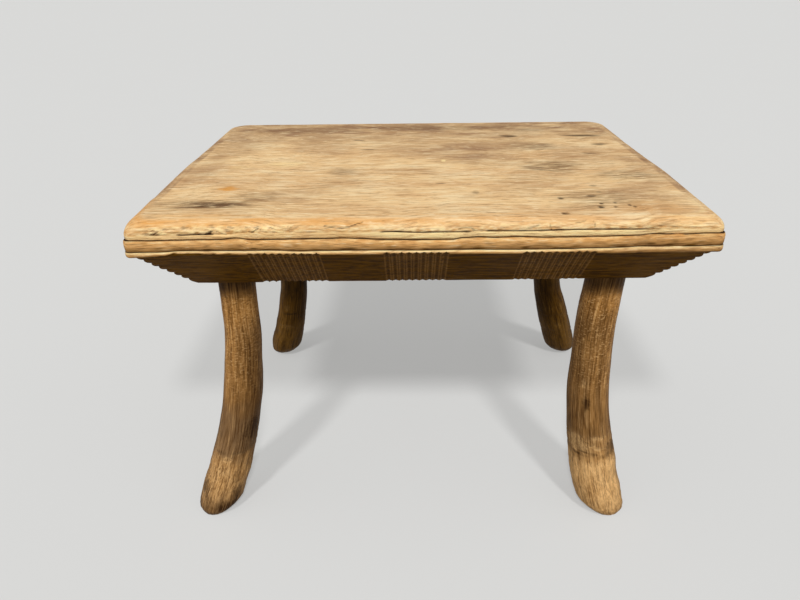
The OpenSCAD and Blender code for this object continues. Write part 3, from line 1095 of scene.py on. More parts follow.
    def _wear_bevel(self, spot: Spot) -> Worn:
        """Gives the bevels' wear and colours: old patina, rubbed on the ridges and the ends, with painted shade deep
        in the flutes.

        Args:
            spot: The point.

        Returns:
            The wear in millimetres, and the painted layers' values.
        """
        x, y, z, fluted = spot.x, spot.y, spot.z, spot.cut > 0
        ends = ease(self.half_x - 100, self.half_x - 60, abs(x))
        ridge = ease(0.35, 0.85, spot.border) * fluted
        colours = {
            Tint.GLOW: 0.85,
            Tint.PATINA: 1.0 - 0.19 * ridge - 0.05 * fluted - 0.05 * ends,
            # Painted shade deep in each flute
            Tint.CRACK: 0.3 * ease(0.5, 0.15, spot.border) * fluted,
        }
        return 0.0 if fluted else 0.1 * ripple(x / 9, y / 9, z / 1.8, 9.0), colours

    def _wear_crown(self, spot: Spot) -> Worn:
        """Gives the rounded upper edge's wear and colours.

        Args:
            spot: The point.

        Returns:
            The wear in millimetres, and the painted layers' values.
        """
        x, y, share = spot.x, spot.y, spot.row.share
        front, down = self._front(y), self.crown_length * share
        # The single cuts: depth and darkness of the deepest one here
        cut, dark = max((c.at(x, down) * c.depth, c.at(x, down)) for c in self.cuts) if front > 0.5 else (0.0, 0.0)
        # Slanting slivers, split off most of all at the left
        u, v = 0.94 * x + 0.34 * down, 0.94 * down - 0.34 * x
        split = ease(-300, -285, x) * mixed(0.25, 1.0, ease(-120, -140, x)) * ease(9, 14, down) * front
        sliver = ripple(u / 9, v / 1.9, 4.0) + 0.4 * ripple(x / 26, down / 1.5, 6.0)
        # Raised fibres, coarser at the right
        right = ease(205, 250, x) * front
        fibre = ripple(x / 34, down / 1.9, 8.0) * (0.4 + 0.9 * right)
        # Small chips above the fine groove, where the rounding has crumbled
        chips = ripple(x / 6, down / 1.8, y / 30, 12.0) + 0.5 * ripple(x / 30, down / 3, 9.0)
        crumbs = ease(8, 13, down) * mixed(0.5, 1.0, ease(15, 18, down)) * front
        bare = mixed(0.55, 1.0, ease(-60, 0, x)) * mixed(1.0, 0.55, right)
        # The shadow in the fine groove, and a warm band that fades toward the right
        fine = ease(0.3, 1.2, along(self.fine_depth, x))
        shadow = (0.7 + 0.5 * ripple(x / 15, 5.0, 0.0)) * ease(0.95, 1.0, share) * front * fine
        warm = mixed(0.75, 0.3, ease(-80, 60, x)) * front * ease(0, 5, down) * ease(15, 10, down)
        worn = cut + 0.8 * split * ease(-0.05, 0.35, sliver) + 0.6 * max(0.0, fibre) * ease(4, 10, down)
        colours = {
            Tint.CRACK: mixed(0.75, 0.45, ease(-20, 20, x)) * dark
            + 0.45 * split * ease(0.25, 0.5, sliver)
            + 0.3 * right * ease(0.25, 0.5, fibre) * ease(3, 8, down)
            + shadow,
            Tint.FRESH: 0.75 * split * ease(0.05, -0.25, sliver)
            + 0.8 * bare * crumbs * ease(0.0, -0.3, chips)
            + 0.4 * right * ease(-0.05, -0.35, fibre),
            Tint.GLOW: 0.6 * crumbs * ease(-0.15, 0.3, chips)
            + 0.25 * crumbs * (1 - bare)
            + warm * (0.75 + 0.7 * ripple(x / 40, down / 5, 2.0)),
            Tint.GRIME: 0.3 * crumbs * ease(0.2, 0.5, chips),
            Tint.WEATHERED: (1 - front) * (0.75 + 0.5 * ripple(x / 30, y / 30, down / 6)),
        }
        return worn + 0.6 * crumbs * max(0.0, chips), colours

    def _wear_bead(self, spot: Spot) -> Worn:
        """Gives the beads' wear and colours.

        Args:
            spot: The point.

        Returns:
            The wear in millimetres, and the painted layers' values.
        """
        x, y, z, band, share = spot.x, spot.y, spot.z, spot.row.band, spot.row.share
        front, worn = self._front(y), 0.0
        mottled = 0.5 + 0.5 * ripple(x / 9, y / 9, z / 1.7, 4.0)
        if band is Band.NARROW:
            # The narrow bead is painted pale as a highlight, fully over its upper half and fading toward its lower
            # edge, most from about the middle to near the right end, where its wood is paler; toward the left and at
            # its lower edge it is more orange
            bright = mixed(0.45, 1.0, ease(-70, -20, x)) * mixed(1.0, 0.6, ease(200, 250, x))
            colours = {
                Tint.FRESH: bright * ease(1.0, 0.5, share) * (0.6 + 0.7 * mottled),
                Tint.GLOW: 0.2 + 0.4 * (1 - bright) + 0.45 * ease(0.55, 0.9, share),
            }
        elif band is Band.WIDE:
            # Dents at the right, and one scar beside the last of the flutes
            dents = 0.5 * ease(0.25, 0.6, ripple(x / 7, z / 3.0, y / 20, 13.0)) * ease(120, 190, x)
            scar = front * ease(216, 222, x) * ease(244, 236, x) * ease(0.75, 0.5, abs(2 * share - 0.9))
            worn = dents + 0.8 * scar * (0.6 + 0.6 * ripple(x / 5, z / 2, 0.0, 5.0))
            # The lower half of the wide bead is painted darker in the patina colour as shade, broken up by its fibres,
            # and patches of its upper part are painted pale as a highlight; patina also lies in the fibres all over
            lower = ease(0.35, 0.9, share + 0.25 * (mottled - 0.5))
            fibrous = 0.5 + 0.5 * ripple(x / 13, y / 13, z / 0.9, 21.0)
            colours = {
                Tint.GLOW: 0.6 + 0.2 * mottled,
                Tint.GRIME: 0.45 * scar * mottled + 0.2 * ease(0.5, 0.9, mottled),
                Tint.PATINA: 0.85 * lower * (0.5 + 0.7 * fibrous) + 0.3 * ease(0.5, 0.8, fibrous),
                Tint.FRESH: 0.5 * ease(0.45, 0.15, share) * ease(0.65, 0.35, mottled),
            }
        else:
            # The patina's upper edge on the low bead, and the soiled stretches; the bead's upper part is also painted
            # pale as a highlight
            soiled = ease(-275, -255, x) * ease(-165, -185, x) + ease(200, 220, x)
            edge = mixed(0.9, along(self.low_dark, x), front) + 0.22 * ripple(x / 6, y / 6, 3.0)
            colours = {
                Tint.FRESH: 0.9 * ease(0.5, 0.28, share) * (1 - 0.4 * soiled),
                Tint.GLOW: 0.35 + 0.5 * ease(0.3, 0.6, share),
                Tint.GRIME: 0.55 * ease(0.4, 0.7, share + 0.2 * mottled) * (0.35 + 0.65 * soiled),
                Tint.PATINA: ease(edge - 0.08, edge + 0.08, share)
                + ease(0.25, 0.6, spot.cut)
                + 0.4 * ease(0.4, 0.75, share + 0.3 * (mottled - 0.5)),
            }
        # The shadow in the grooves, thin in the fine one, and faded on one short stretch
        middle, groove, dip = abs(2 * share - 1), (0.62, 0.84), 1.0
        if band is Band.NARROW and share < 0.5:
            groove, dip = (0.84, 0.98), mixed(0.4, ease(0.3, 1.2, along(self.fine_depth, x)), front)
        if band is not Band.LOW or share < 0.5:
            fading = 1 - 0.8 * front * ease(260, 266, x) * ease(276, 271, x)
            colours[Tint.CRACK] = ease(*groove, middle) * dip * fading
        return worn, colours

    def _wear_top(self, v: bmesh.types.BMVert, tints: dict[Tint, bmesh.types.BMLayerItem]) -> None:
        """Wears one point of the top face down from the plane, and paints it.

        Args:
            v: The point.
            tints: The painted layers.
        """
        x, y = v.co.x, v.co.y
        hollow = 0.35 + 0.35 * ripple(x / 90, y / 60, 0.0) + 0.12 * ripple(x / 45, y / 5, 1.0)
        for patch in self.patches + self.marks:
            share = patch.at(x, y)
            if share > 0:
                hollow += share * patch.depth
                v[tints[patch.tint]] = min(1.0, v[tints[patch.tint]] + share)
        # The top is painted greyer and darker toward the back
        back = ease(40, 180, y) * (0.85 + 0.6 * ripple(x / 45, y / 20, 7.0))
        v[tints[Tint.WEATHERED]] = min(1.0, v[tints[Tint.WEATHERED]] + back)
        for cut in self.cuts:
            share = cut.at(x, -(y + self._flat(self.half_y))) if y < -190 else 0.0
            hollow += share * cut.depth
            v[tints[Tint.CRACK]] = max(v[tints[Tint.CRACK]], 0.6 * share)
        v.co.z = self.top_z - max(0.02, hollow)
        v.co.x *= self._taper(x, y)

    def _close_underside(self, bm: bmesh.types.BMesh) -> None:
        """Closes the underside round four blind mortises.

        Args:
            bm: The plank's mesh.
        """
        rim = [e for e in bm.edges if e.is_boundary]
        holes = []
        for x, y in self.mortises:
            place = Matrix.Translation((x, y, 0.0))
            made = bmesh.ops.create_circle(bm, segments=self.mortise_sides, radius=self.mortise_r, matrix=place)
            for v in made["verts"]:
                v.co.z = along(self.under_line, v.co.x)
            holes.append(list(dict.fromkeys(e for v in made["verts"] for e in v.link_edges)))
        borders = rim + [e for hole in holes for e in hole]
        bmesh.ops.triangle_fill(bm, use_beauty=True, use_dissolve=False, edges=borders)
        patina = bm.verts.layers.float[Tint.PATINA.value]
        for hole in holes:
            end = drawn_on(bm, hole)
            for v in corners(end):
                v.co.z = self.mortise_z
            bmesh.ops.contextual_create(bm, geom=end)
            for v in corners(hole):
                v[patina] = 1.0


def placed(name: str, data: bpy.types.ID) -> bpy.types.Object:
    """Makes an object and puts it in the scene.

    Args:
        name: Name of the object.
        data: Its mesh, lamp or camera.

    Returns:
        The object.
    """
    made = bpy.data.objects.new(name, data)
    bpy.context.scene.collection.objects.link(made)
    return made


def closed_mesh(bm: bmesh.types.BMesh, name: str, scale: float) -> bpy.types.Mesh:
    """Ends the modelling of a mesh.

    Args:
        bm: The mesh. It is freed.
        name: Name of the finished mesh.
        scale: Size of one of the mesh's units, in metres.

    Returns:
        The finished mesh.
    """
    bmesh.ops.scale(bm, vec=(scale, scale, scale), verts=bm.verts)
    mesh = bpy.data.meshes.new(name)
    bm.to_mesh(mesh)
    bm.free()
    return mesh


def finished_piece(
    bm: bmesh.types.BMesh, name: str, material: bpy.types.Material, scale: float = MM
) -> bpy.types.Object:
    """Makes a smooth piece of a mesh, in place and with its object at the origin.

    Args:
        bm: The mesh. It is freed.
        name: Name of the piece.
        material: Its finish.
        scale: Size of one of the mesh's units, in metres.

    Returns:
        The object.
    """
    for face in bm.faces:
        face.smooth = True
    mesh = closed_mesh(bm, name, scale)
    mesh.materials.append(material)
    mesh.calc_loop_triangles()
    LOG.info("%s: %d triangles", name, len(mesh.loop_triangles))
    return placed(name, mesh)


class Shade(Enum):
    """A layer painted on a leg's points."""

    PALE = "pale"
    GREY = "grey"
    # Soot, stains and smudges, and painted shade
    SOOT = "soot"
    FLECKED = "flecked"


@dataclass(frozen=True)
class Scuff:
    """A smudge on a leg, pale or dark, with a ragged outline."""

    shade: Shade
    angle: float
    z: float
    wide: float
    high: float
    strength: float

    @classmethod
    def several(cls, shade: Shade, *sizes: tuple[float, ...]) -> tuple["Scuff", ...]:
        """Makes smudges of one shade, each from its angle, height, width, size up the leg and strength."""
        return tuple(cls(shade, *size) for size in sizes)

    def at(self, angle: float, z: float, r: float) -> float:
        """Gives how much of the smudge there is at a place on the branch.

        Args:
            angle: Direction round the branch, in radians.
            z: Height.
            r: The branch's radius there.

        Returns:
            A share from 0 to 1.
        """
        turn = math.remainder(angle - math.radians(self.angle), math.tau)
        away = math.hypot(turn * r / self.wide, (z - self.z) / self.high)
        if away > 1.6:
            return 0.0
        return self.strength * ease(1.1, 0.35, away + 0.5 * ripple(angle * r / 3, z / 3, self.z))


@dataclass
class BranchLeg:
    """One bent branch with its tenon, drawn from the places and widths of its sections."""

    name: str
    node: str
    side: Side
    rank: Rank
    tenon_x: float
    middle: Table
    width: Table
    reach_y: float
    pale: Table
    grey: Table
    soot: Table
    scuffs: tuple[Scuff, ...]
    seed: float
    finish: BranchFinish
    # How strongly the side that faces the table's middle is painted in shade
    inner_stain: float = 0.6
    # The tenon, its split and the wedge in it
    tenon_y: float = 148.0
    tenon_d: float = 34.0
    tenon_z: float = 396.5
    shoulder_z: float = 346.5
    chamfer: float = 2.0
    split_depth: float = 32.0
    wedge_head: float = 6.0
    wedge_tip: float = 2.0
    # How sharply the branch bends outward, and how finely it is laid out
    bend: float = 2.2
    sides: int = 88
    foot_rows: int = 14
    stem_rows: int = 160
    foot_h: float = 32.0
    # Where the burr, the flecks, the fine rings and the knobbly collar set in and end
    burr_span: tuple[float, float] = (95, 55)
    fleck_span: tuple[float, float] = (150, 230)
    fleck_end: tuple[float, float] = (336.5, 316.5)
    ring_span: tuple[float, float] = (190, 260)
    collar_span: tuple[float, float] = (78, 90)
    collar_end: tuple[float, float] = (122, 108)

    def build(self) -> bpy.types.Object:
        """Models the leg and dresses it.

        Returns:
            The leg's object, in place.
        """
        bm = bmesh.new()
        height, angle = bm.verts.layers.float.new("height"), bm.verts.layers.float.new("angle")
        bm.verts.layers.float_vector.new("branch")
        for shade in Shade:
            bm.verts.layers.float.new(shade.value)
        made = bmesh.ops.create_circle(bm, cap_ends=True, segments=self.sides, radius=1.0)
        for v in made["verts"]:
            v[angle] = math.atan2(v.co.y, v.co.x)
        ring = list(bm.edges)
        for z in self._levels()[1:]:
            ring = drawn_on(bm, ring)
            for v in corners(ring):
                v[height] = z
        for v in bm.verts:
            self._shape(v, v[height], v[angle], bm)
            self._paint(v, v[height], v[angle], bm)
        self._add_tenon(bm, ring)
        bmesh.ops.recalc_face_normals(bm, faces=bm.faces)
        for name in ("height", "angle"):
            bm.verts.layers.float.remove(bm.verts.layers.float[name])
        leg = finished_piece(bm, self.name, self.finish.material())
        self._split_tenon(leg)
        return leg

    def _levels(self) -> list[float]:
        """Lists the heights of the leg's sections, close together round the foot.

        Returns:
            The heights, from the floor up.
        """
        foot = [self.foot_h * (1 - math.cos(math.pi / 2 * i / self.foot_rows)) for i in range(self.foot_rows + 1)]
        step = (self.shoulder_z - self.foot_h) / self.stem_rows
        return foot + [self.foot_h + step * (i + 1) for i in range(self.stem_rows)]

    def _middle_y(self, z: float) -> float:
        """Gives how far in front of or behind the table's middle the branch runs at a height."""
        drop = max(0.0, 1 - z / self.shoulder_z)
        return self.rank.value * (self.tenon_y + self.reach_y * drop**self.bend)

    def _tenon_middle(self) -> tuple[float, float]:
        """Gives the place of the tenon's middle."""
        return self.side.value * self.tenon_x, self.rank.value * self.tenon_y

    def _trim(self, z: float, inward: float) -> float:
        """Gives how much the trimmed foot is cut back at a height.

        Args:
            z: Height.
            inward: 1 on the side that faces the table's middle, -1 on the outer side.

        Returns:
            The cut in millimetres.
        """
        toward = ease(-0.9, 0.9, inward)
        high, wide, power = mixed(12.0, 20.0, toward), mixed(6.0, 11.5, toward), mixed(2.4, 1.6, toward)
        return wide * max(0.0, 1 - z / high) ** power

    def _shape(self, v: bmesh.types.BMVert, z: float, angle: float, bm: bmesh.types.BMesh) -> None:
        """Places one point of the branch, and notes its place on the straightened branch.

        Args:
            v: The point.
            z: Its height.
            angle: Its direction round the branch, anticlockwise from +X.
            bm: The mesh that it belongs to.
        """
        seed, width = self.seed, swept(self.width, z)
        lean = self.reach_y * self.bend * max(0.0, 1 - z / self.shoulder_z) ** (self.bend - 1) / self.shoulder_z
        depth = width * (0.97 + 0.3 * (math.hypot(1, lean) - 1))
        cos, sin, r = math.cos(angle), math.sin(angle), width / 2
        rx, ry = cos * r, sin * r
        uneven = 0.7 * ripple(1.2 * cos, 1.2 * sin, z / 60, seed) + 0.35 * ripple(3 * cos, 3 * sin, z / 26, seed)
        fibre = 0.3 * ripple(rx / 2.4, ry / 2.4, z / 55, seed) + 0.16 * ripple(rx / 1.3, ry / 1.3, z / 30, seed)
        knobs = 0.55 * ripple(rx / 6, ry / 6, z / 7, seed) + 0.3 * ripple(rx / 2.6, ry / 2.6, z / 3, seed)
        burr = ease(*self.burr_span, z) * knobs
        rings = ease(*self.ring_span, z) * 0.16 * ripple(cos, sin, z / 2.6, seed)
        lumps = 0.5 * ripple(2 * cos, 2 * sin, z / 3.4, seed + 3)
        collar = lumps * ease(*self.collar_span, z) * ease(*self.collar_end, z)
        trim = self._trim(z, 0.85 * self._inward(angle) + 0.35 * self.rank.value * -sin)
        scale = (r + (uneven + fibre + burr + rings + collar) - trim) / r
        x, y = swept(self.middle, z) + rx * scale, self._middle_y(z) + sin * depth / 2 * scale
        v.co = Vector((x, y, z * (along(PlankTop.under_line, x) / self.shoulder_z)))
        v[bm.verts.layers.float_vector["branch"]] = Vector((rx * MM, ry * MM, z * MM + seed))

    def _inward(self, angle: float) -> float:
        """Gives 1 on the side that faces the table's middle, and -1 on the outer side."""
        return -self.side.value * math.cos(angle)

    def _paint(self, v: bmesh.types.BMVert, z: float, angle: float, bm: bmesh.types.BMesh) -> None:
        """Paints one point of the branch.

        Args:
            v: The point.
            z: Its height.
            angle: Its direction round the branch.
            bm: The mesh that it belongs to.
        """
        inward, cos, sin, r = self._inward(angle), math.cos(angle), math.sin(angle), swept(self.width, z) / 2
        blur = 9 * ripple(1.5 * cos, 1.5 * sin, z / 15, self.seed + 5)
        blot = 1 + 0.9 * ripple(cos * r / 9, sin * r / 9, z / 16, self.seed + 9)
        # Painted shade: the side that faces the table's middle (toward) and the outer rim (away) are darkened into the
        # soot layer, and the pale burr is fainter on the inner side; the soot table also paints the block's shadow
        # over the branch's top
        toward, away = ease(-0.7, 0.85, inward), ease(0.75, 1.0, -inward)
        stain = along(self.soot, z + 0.3 * blur)
        shaded = self.inner_stain * mixed(1.0, 0.35, ease(265, 300, z)) * mixed(0.4, 1.0, ease(75, 105, z))
        clean = (1 - shaded * toward) * (1 - 0.42 * away) * max(0.0, 1 - stain * (blot if z < 300 else 1.0))
        layers = {
            Shade.PALE: along(self.pale, z + blur) * (1 - 0.2 * toward),
            Shade.GREY: along(self.grey, z + 2 * blur),
            Shade.SOOT: min(0.96, 1 - clean),
            Shade.FLECKED: ease(*self.fleck_span, z) * ease(*self.fleck_end, z),
        }
        for scuff in self.scuffs:
            layers[scuff.shade] += scuff.at(angle, z, r)
        for shade, value in layers.items():
            v[bm.verts.layers.float[shade.value]] = min(1.0, max(0.0, value))

    def _add_tenon(self, bm: bmesh.types.BMesh, ring: list[bmesh.types.BMEdge]) -> None:
        """Turns the shoulder in and draws the round tenon up, with a chamfered end.

        Args:
            bm: The leg's mesh.
            ring: The edges round the branch's upper end.
        """
        (x, y), r = self._tenon_middle(), self.tenon_d / 2
        turn, grey = bm.verts.layers.float["angle"], bm.verts.layers.float[Shade.GREY.value]
        for radius, z in ((r, None), (r, self.tenon_z - self.chamfer), (r - self.chamfer, self.tenon_z)):
            ring = drawn_on(bm, ring)
            for v in corners(ring):
                level = v.co.z if z is None else z
                v.co = Vector((x + radius * math.cos(v[turn]), y + radius * math.sin(v[turn]), level))
                v[grey] = 0.0
        bmesh.ops.contextual_create(bm, geom=ring)

    def _split_tenon(self, leg: bpy.types.Object) -> None:
        """Cuts the tapered split for the wedge across the end of the tenon.

        Args:
            leg: The leg's object. It gets a new mesh.
        """
        (x, y), over = self._tenon_middle(), 4.0
        low_z, top_z = self.tenon_z - self.split_depth, self.tenon_z + over
        grow = (self.wedge_head - self.wedge_tip) / self.split_depth
        bm = bmesh.new()
        bmesh.ops.create_cube(bm, size=1.0)
        for v in bm.verts:
            thick, z = (self.wedge_tip, low_z) if v.co.z < 0 else (self.wedge_head + grow * over, top_z)
            v.co = Vector((x + v.co.x * thick, y + 2 * v.co.y * self.tenon_d, z))
        cutter = placed("split", closed_mesh(bm, "split", MM))
        cut = leg.modifiers.new("split", "BOOLEAN")
        cut.object, cut.operation, cut.solver = cutter, "DIFFERENCE", "EXACT"
        graph = bpy.context.evaluated_depsgraph_get()
        spent = (leg.data, cutter.data)
        leg.data = bpy.data.meshes.new_from_object(leg.evaluated_get(graph))
        leg.modifiers.clear()
        bpy.data.objects.remove(cutter)
        for mesh in spent:
            bpy.data.meshes.remove(mesh)


@dataclass(frozen=True)
class GroundFinish:
    """Matt pale ground, even all over, whose paleness shows only to the eye and in reflections."""

    tone: Colour = (0.353, 0.353, 0.347, 1.0)
    shade: Colour = (0.348, 0.348, 0.342, 1.0)
    paleness: Colour = (0.344, 0.344, 0.338, 1.0)
    haze_scale: float = 3.0
    tooth_scale: float = 900.0
    tooth_depth: float = 0.02

    def material(self) -> bpy.types.Material:
        """Builds the finish.

        Returns:
            The material. The table's shadow stays on it, and it throws little light up at the table.
        """
        w = Wiring(bpy.data.materials.new("pale_ground"))
        place = w.place()
        haze = w.even(place, self.haze_scale, 3.0)
        tooth = w.relief(w.even(place, self.tooth_scale, 2.0), self.tooth_depth)
        matt = w.surface(w.over(haze, self.tone, self.shade), w.between(haze, 0.9, 0.95), tooth)
        path = w.node("ShaderNodeLightPath").outputs
        mirrored = w.sum("MAXIMUM", path["Is Glossy Ray"], path["Is Transmission Ray"])
        seen = w.sum("MAXIMUM", path["Is Camera Ray"], mirrored)
        pale = w.node("ShaderNodeEmission", {"Color": self.paleness, "Strength": seen}).outputs[0]
        return w.close(w.node("ShaderNodeAddShader", {0: matt, 1: pale}).outputs[0])


@dataclass(frozen=True)
class Glow:
    """A soft bright part of the sky."""

    toward: tuple[float, float, float]
    strength: float
    tightness: float


@dataclass
class Studio:
    """Plain pale floor, two soft lamps from the front and above, and the camera of the photograph."""

    reach: float = 30.0
    eye: tuple[float, float, float] = (-0.01093, -0.80364, 0.67305)
    yaw: float = -0.02098
    pitch: float = 0.51175
    roll: float = -0.01574
    lens: float = 27.045
    film_w: float = 36.0
    sight: float = 100.0
    lamp_power: float = 1.35
    lamp_spread: float = 7.0
    lamp_sideways: float = 0.30
    lamp_back: float = 0.745
    lamp_away: float = 3.0
    sky_base: float = 0.1
    sky_seen: float = 0.68
    glows: tuple[Glow, ...] = (
        Glow((-0.78, -0.25, 0.57), 0.55, 3.0),
        Glow((0.78, -0.25, 0.57), 0.45, 3.0),
    )

    def build(self) -> None:
        """Makes the floor, the lamps, the sky and the camera, and shows colours as they are."""
        bpy.context.scene.view_settings.view_transform = "Standard"
        self._lay_floor()
        for side in Side:
            self._hang_lamp(side)
        self._light_sky()
        self._set_camera()

    def _lay_floor(self) -> None:
        """Lays the floor."""
        bm = bmesh.new()
        bmesh.ops.create_grid(bm, x_segments=4, y_segments=4, size=self.reach)
        floor = finished_piece(bm, "floor", GroundFinish().material(), 1.0)

    def _hang_lamp(self, side: Side) -> None:
        """Hangs one lamp.

        Args:
            side: The side of the viewer that it hangs on.
        """
        lamp = bpy.data.lights.new(f"lamp_{side.name.lower()}", "SUN")
        lamp.energy = self.lamp_power
        lamp.angle = math.radians(self.lamp_spread)
        hung = placed(lamp.name, lamp)
        ray = Vector((-side.value * self.lamp_sideways, self.lamp_back, -1.0))
        hung.rotation_euler = ray.to_track_quat("-Z", "Y").to_euler()
        hung.location = -self.lamp_away * ray

    def _light_sky(self) -> None:
        """Lights everything softly from all round, with a bright part on each side."""
        world = bpy.data.worlds.new("soft_sky")
        w = Wiring(world)
        way, level = w.node("ShaderNodeTexCoord").outputs["Generated"], self.sky_base
        for glow in self.glows:
            toward = Vector(glow.toward).normalized()
            facing = w.node("ShaderNodeVectorMath", {0: way, 1: toward}, operation="DOT_PRODUCT").outputs["Value"]
            bright = w.sum("POWER", w.sum("MAXIMUM", facing, 0.0), glow.tightness)
            level = w.sum("ADD", w.times(bright, glow.strength), level)
        seen = w.node("ShaderNodeLightPath").outputs["Is Camera Ray"]
        power = w.node("ShaderNodeMix", {0: seen, 2: level, 3: self.sky_seen}).outputs[0]
        sky = w.node("ShaderNodeBackground", {"Color": (1.0, 1.0, 1.0, 1.0), "Strength": power}).outputs[0]
        w.node("ShaderNodeOutputWorld", {"Surface": sky})
        bpy.context.scene.world = world

    def _set_camera(self) -> None:
        """Sets the camera where the photograph was taken from."""
        cos_pitch = math.cos(self.pitch)
        ahead = Vector((math.sin(self.yaw) * cos_pitch, math.cos(self.yaw) * cos_pitch, -math.sin(self.pitch)))
        level = Vector((math.cos(self.yaw), -math.sin(self.yaw), 0.0))
        upright = level.cross(ahead)
        right = math.cos(self.roll) * level + math.sin(self.roll) * upright
        up = math.cos(self.roll) * upright - math.sin(self.roll) * level
        camera = bpy.data.cameras.new("camera")
        camera.lens, camera.sensor_width, camera.clip_end = self.lens, self.film_w, self.sight
        held = placed("camera", camera)
        turn = Matrix((right, up, -ahead)).transposed().to_4x4()
        held.matrix_world = Matrix.Translation(self.eye) @ turn
        bpy.context.scene.camera = held


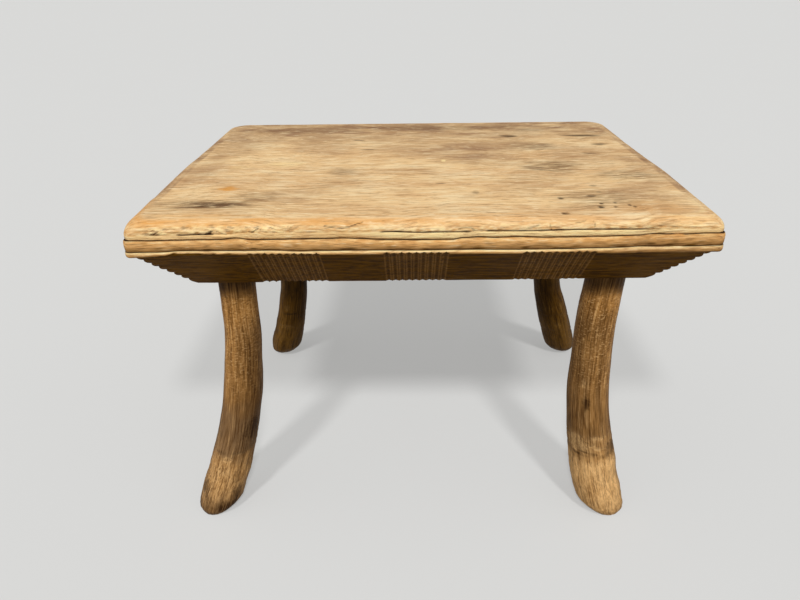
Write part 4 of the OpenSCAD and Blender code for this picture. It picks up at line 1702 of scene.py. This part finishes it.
def legs() -> list[BranchLeg]:
    """Describes the four branches.

    Returns:
        The legs, front left, front right, back left and back right.
    """
    brown = BranchFinish("branch_brown")
    tan = BranchFinish("branch_tan", grey=paint(122, 94, 62), pale=paint(255, 204, 138), dashes=0.36)
    dark = BranchFinish(
        "branch_dark", wood=paint(128, 86, 20), deep=paint(58, 32, 1), light=paint(156, 114, 50),
        grey=paint(84, 56, 12), pale=paint(168, 126, 66), soot=paint(28, 12, 0),
    )
    return [
        BranchLeg(
            name="front_left_branch", node="front_left_leg", side=Side.LEFT, rank=Rank.FRONT, tenon_x=224.5,
            middle=(
                (0, -287.5), (18, -281.1), (37, -275.3), (55, -268.1), (74, -262.9), (110, -251.7), (147, -243.1),
                (184, -236.4), (221, -232.2), (256, -228.4), (291, -227), (325, -226.1), (346.5, -225.5),
            ),
            width=(
                (0, 57.5), (18, 60), (37, 59.7), (55, 59.4), (74, 57.6), (110, 55.4), (147, 53.2), (184, 52.4),
                (221, 48.8), (256, 46.6), (291, 44.4), (346.5, 44.5),
            ),
            reach_y=49.0,
            pale=((0, 0.25), (14, 0.35), (30, 0.6), (60, 0.7), (74, 0.55), (88, 0.3), (104, 0.1), (125, 0)),
            grey=(
                (0, 0.7), (26, 0.5), (50, 0.1), (80, 0.1), (96, 0.9), (140, 0.85), (182, 0.2), (230, 0.15),
                (270, 0.2), (300, 0), (346, 0),
            ),
            # Darker at the foot's lowest part and in stains up the branch; from about 317 mm up, painted shadow of the
            # block over the branch's top
            soot=(
                (0, 0.7), (12, 0.6), (24, 0.33), (41, 0.08), (74, 0.05), (100, 0.22), (130, 0.28), (176, 0.2),
                (257, 0.08), (300, 0), (317, 0.1), (327, 0.6), (335, 0.93), (346, 0.95),
            ),
            scuffs=Scuff.several(
                Shade.PALE,
                (-97, 87, 8, 6, 1.4), (-72, 94, 9, 2.5, 0.5), (-100, 70, 12, 8, 0.35),
            ) + Scuff.several(
                Shade.SOOT,
                (-122, 95, 10, 3, 0.35), (-142, 40, 13, 15, 0.6), (-120, 26, 12, 9, 0.25), (-42, 34, 10, 14, 0.45),
                (-70, 17, 28, 12, 0.5), (-38, 128, 15, 22, 0.35), (-60, 60, 8, 14, 0.3),
            ),
            seed=1.0, finish=brown,
        ),
        BranchLeg(
            name="front_right_branch", node="front_right_leg", side=Side.RIGHT, rank=Rank.FRONT, tenon_x=226.0,
            middle=(
                (1, 257.9), (19, 251.1), (37, 246.4), (55, 241.6), (73, 238.8), (91, 235.2), (110, 231.6),
                (146, 226.8), (183, 223.8), (219, 223.1), (254, 222.7), (289, 223.2), (322, 225.2), (346.5, 226.5),
            ),
            width=(
                (1, 58.2), (19, 63.6), (37, 64.7), (55, 62.9), (73, 62.6), (91, 60.8), (110, 59), (146, 55.4),
                (183, 53.2), (219, 50.9), (254, 50), (289, 49), (322, 46.7), (346.5, 46),
            ),
            reach_y=49.0,
            pale=((0, 0.6), (14, 0.85), (60, 1.0), (78, 0.95), (90, 0.35), (100, 0.2), (118, 0.15), (130, 0)),
            grey=((80, 0.1), (104, 0.6), (170, 0.45), (230, 0.35), (290, 0.3), (310, 0), (346, 0)),
            # Darker at the foot's lowest part and in stains up the branch; from about 317 mm up, painted shadow of the
            # block over the branch's top
            soot=(
                (0, 0.45), (20, 0.1), (36, 0), (84, 0), (110, 0.2), (130, 0.33), (176, 0.16), (290, 0.1), (300, 0.05),
                (317, 0.15), (326, 0.7), (334, 0.95), (346, 0.95),
            ),
            scuffs=Scuff.several(
                Shade.PALE,
                (-119, 196, 5, 7, 0.6), (-80, 118, 16, 4, 0.6), (-138, 107, 22, 14, 1.2), (-78, 103, 9, 2.5, 0.6),
                (-92, 110, 3, 6, 0.6), (-64, 128, 5, 12, 0.3),
            ) + Scuff.several(
                Shade.SOOT,
                (-108, 168, 6, 13, 0.55), (-38, 98, 17, 14, 0.58), (-118, 97, 9, 2.2, 0.5), (-95, 95, 7, 2.6, 0.45),
                (-62, 91, 12, 4.5, 0.45), (-140, 92, 10, 2.4, 0.55), (-135, 34, 7, 22, 0.15),
            ),
            seed=2.3, finish=tan, inner_stain=0.4,
        ),
        BranchLeg(
            name="back_left_branch", node="back_left_leg", side=Side.LEFT, rank=Rank.BACK, tenon_x=213.0,
            middle=(
                (0, -261.5), (9, -259.7), (27, -255.8), (44, -251), (61, -245.6), (77, -241.2), (108, -234),
                (137, -228.2), (165, -223.7), (240, -217), (346.5, -213),
            ),
            width=(
                (0, 53), (9, 55), (27, 57.4), (44, 56.8), (61, 54.2), (77, 53.7), (108, 50.8), (137, 49.9),
                (165, 47.3), (240, 45), (346.5, 43),
            ),
            reach_y=52.4,
            pale=((0, 0.3), (60, 0.25), (120, 0)),
            grey=((0, 0.4), (346, 0.3)),
            # A faint even stain, and from about 123 mm up darker toward the top as painted shade under the table
            soot=((0, 0.1), (75, 0.1), (123, 0.1), (168, 0.5), (346, 0.6)),
            scuffs=Scuff.several(
                Shade.PALE,
                (-106, 125, 7, 8, 0.5), (-100, 80, 17, 7, 0.35),
            ) + Scuff.several(
                Shade.SOOT,
                (-95, 112, 18, 3, 0.5),
            ),
            seed=3.9, finish=dark,
        ),
        BranchLeg(
            name="back_right_branch", node="back_right_leg", side=Side.RIGHT, rank=Rank.BACK, tenon_x=218.0,
            middle=(
                (0, 284), (9, 281.6), (24, 277.9), (38, 273.3), (58, 267), (74, 261.4), (105, 251.8), (134, 242.8),
                (161, 235.3), (240, 223), (346.5, 218),
            ),
            width=(
                (0, 52), (9, 54), (24, 56.5), (38, 57.5), (58, 56.2), (74, 57), (105, 54.3), (134, 51.5), (161, 47),
                (240, 44.5), (346.5, 43),
            ),
            reach_y=53.6,
            pale=((0, 0.3), (60, 0.25), (120, 0)),
            grey=((0, 0.4), (346, 0.3)),
            # A faint even stain, and from about 123 mm up darker toward the top as painted shade under the table
            soot=((0, 0.1), (75, 0.1), (123, 0.15), (168, 0.5), (346, 0.6)),
            scuffs=Scuff.several(
                Shade.PALE,
                (-125, 116, 6, 7, 0.4), (-51, 124, 7, 9, 0.35), (-55, 103, 6, 5, 0.3), (-85, 82, 10, 6, 0.35),
            ),
            seed=5.1, finish=dark,
        ),
    ]


def note_size() -> None:
    """Brings the scene's view layer up to date."""
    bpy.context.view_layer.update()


def main() -> None:
    """Builds the studio and the table, and reports each piece."""
    logging.basicConfig(level=logging.INFO, format="%(message)s")
    Studio().build()
    plank = PlankTop().build()
    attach(plank, "root")
    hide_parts("top_block")
    for leg in legs():
        branch = leg.build()
        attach(branch, "root")
        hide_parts(leg.node)
    whittled = WedgeFinish().material()
    for name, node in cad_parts.items():
        if name.endswith("_wedge"):
            node.data.materials.clear()
            node.data.materials.append(whittled)
            LOG.info("%s: finish laid", name)
    note_size()


if __name__ == "__main__":
    main()
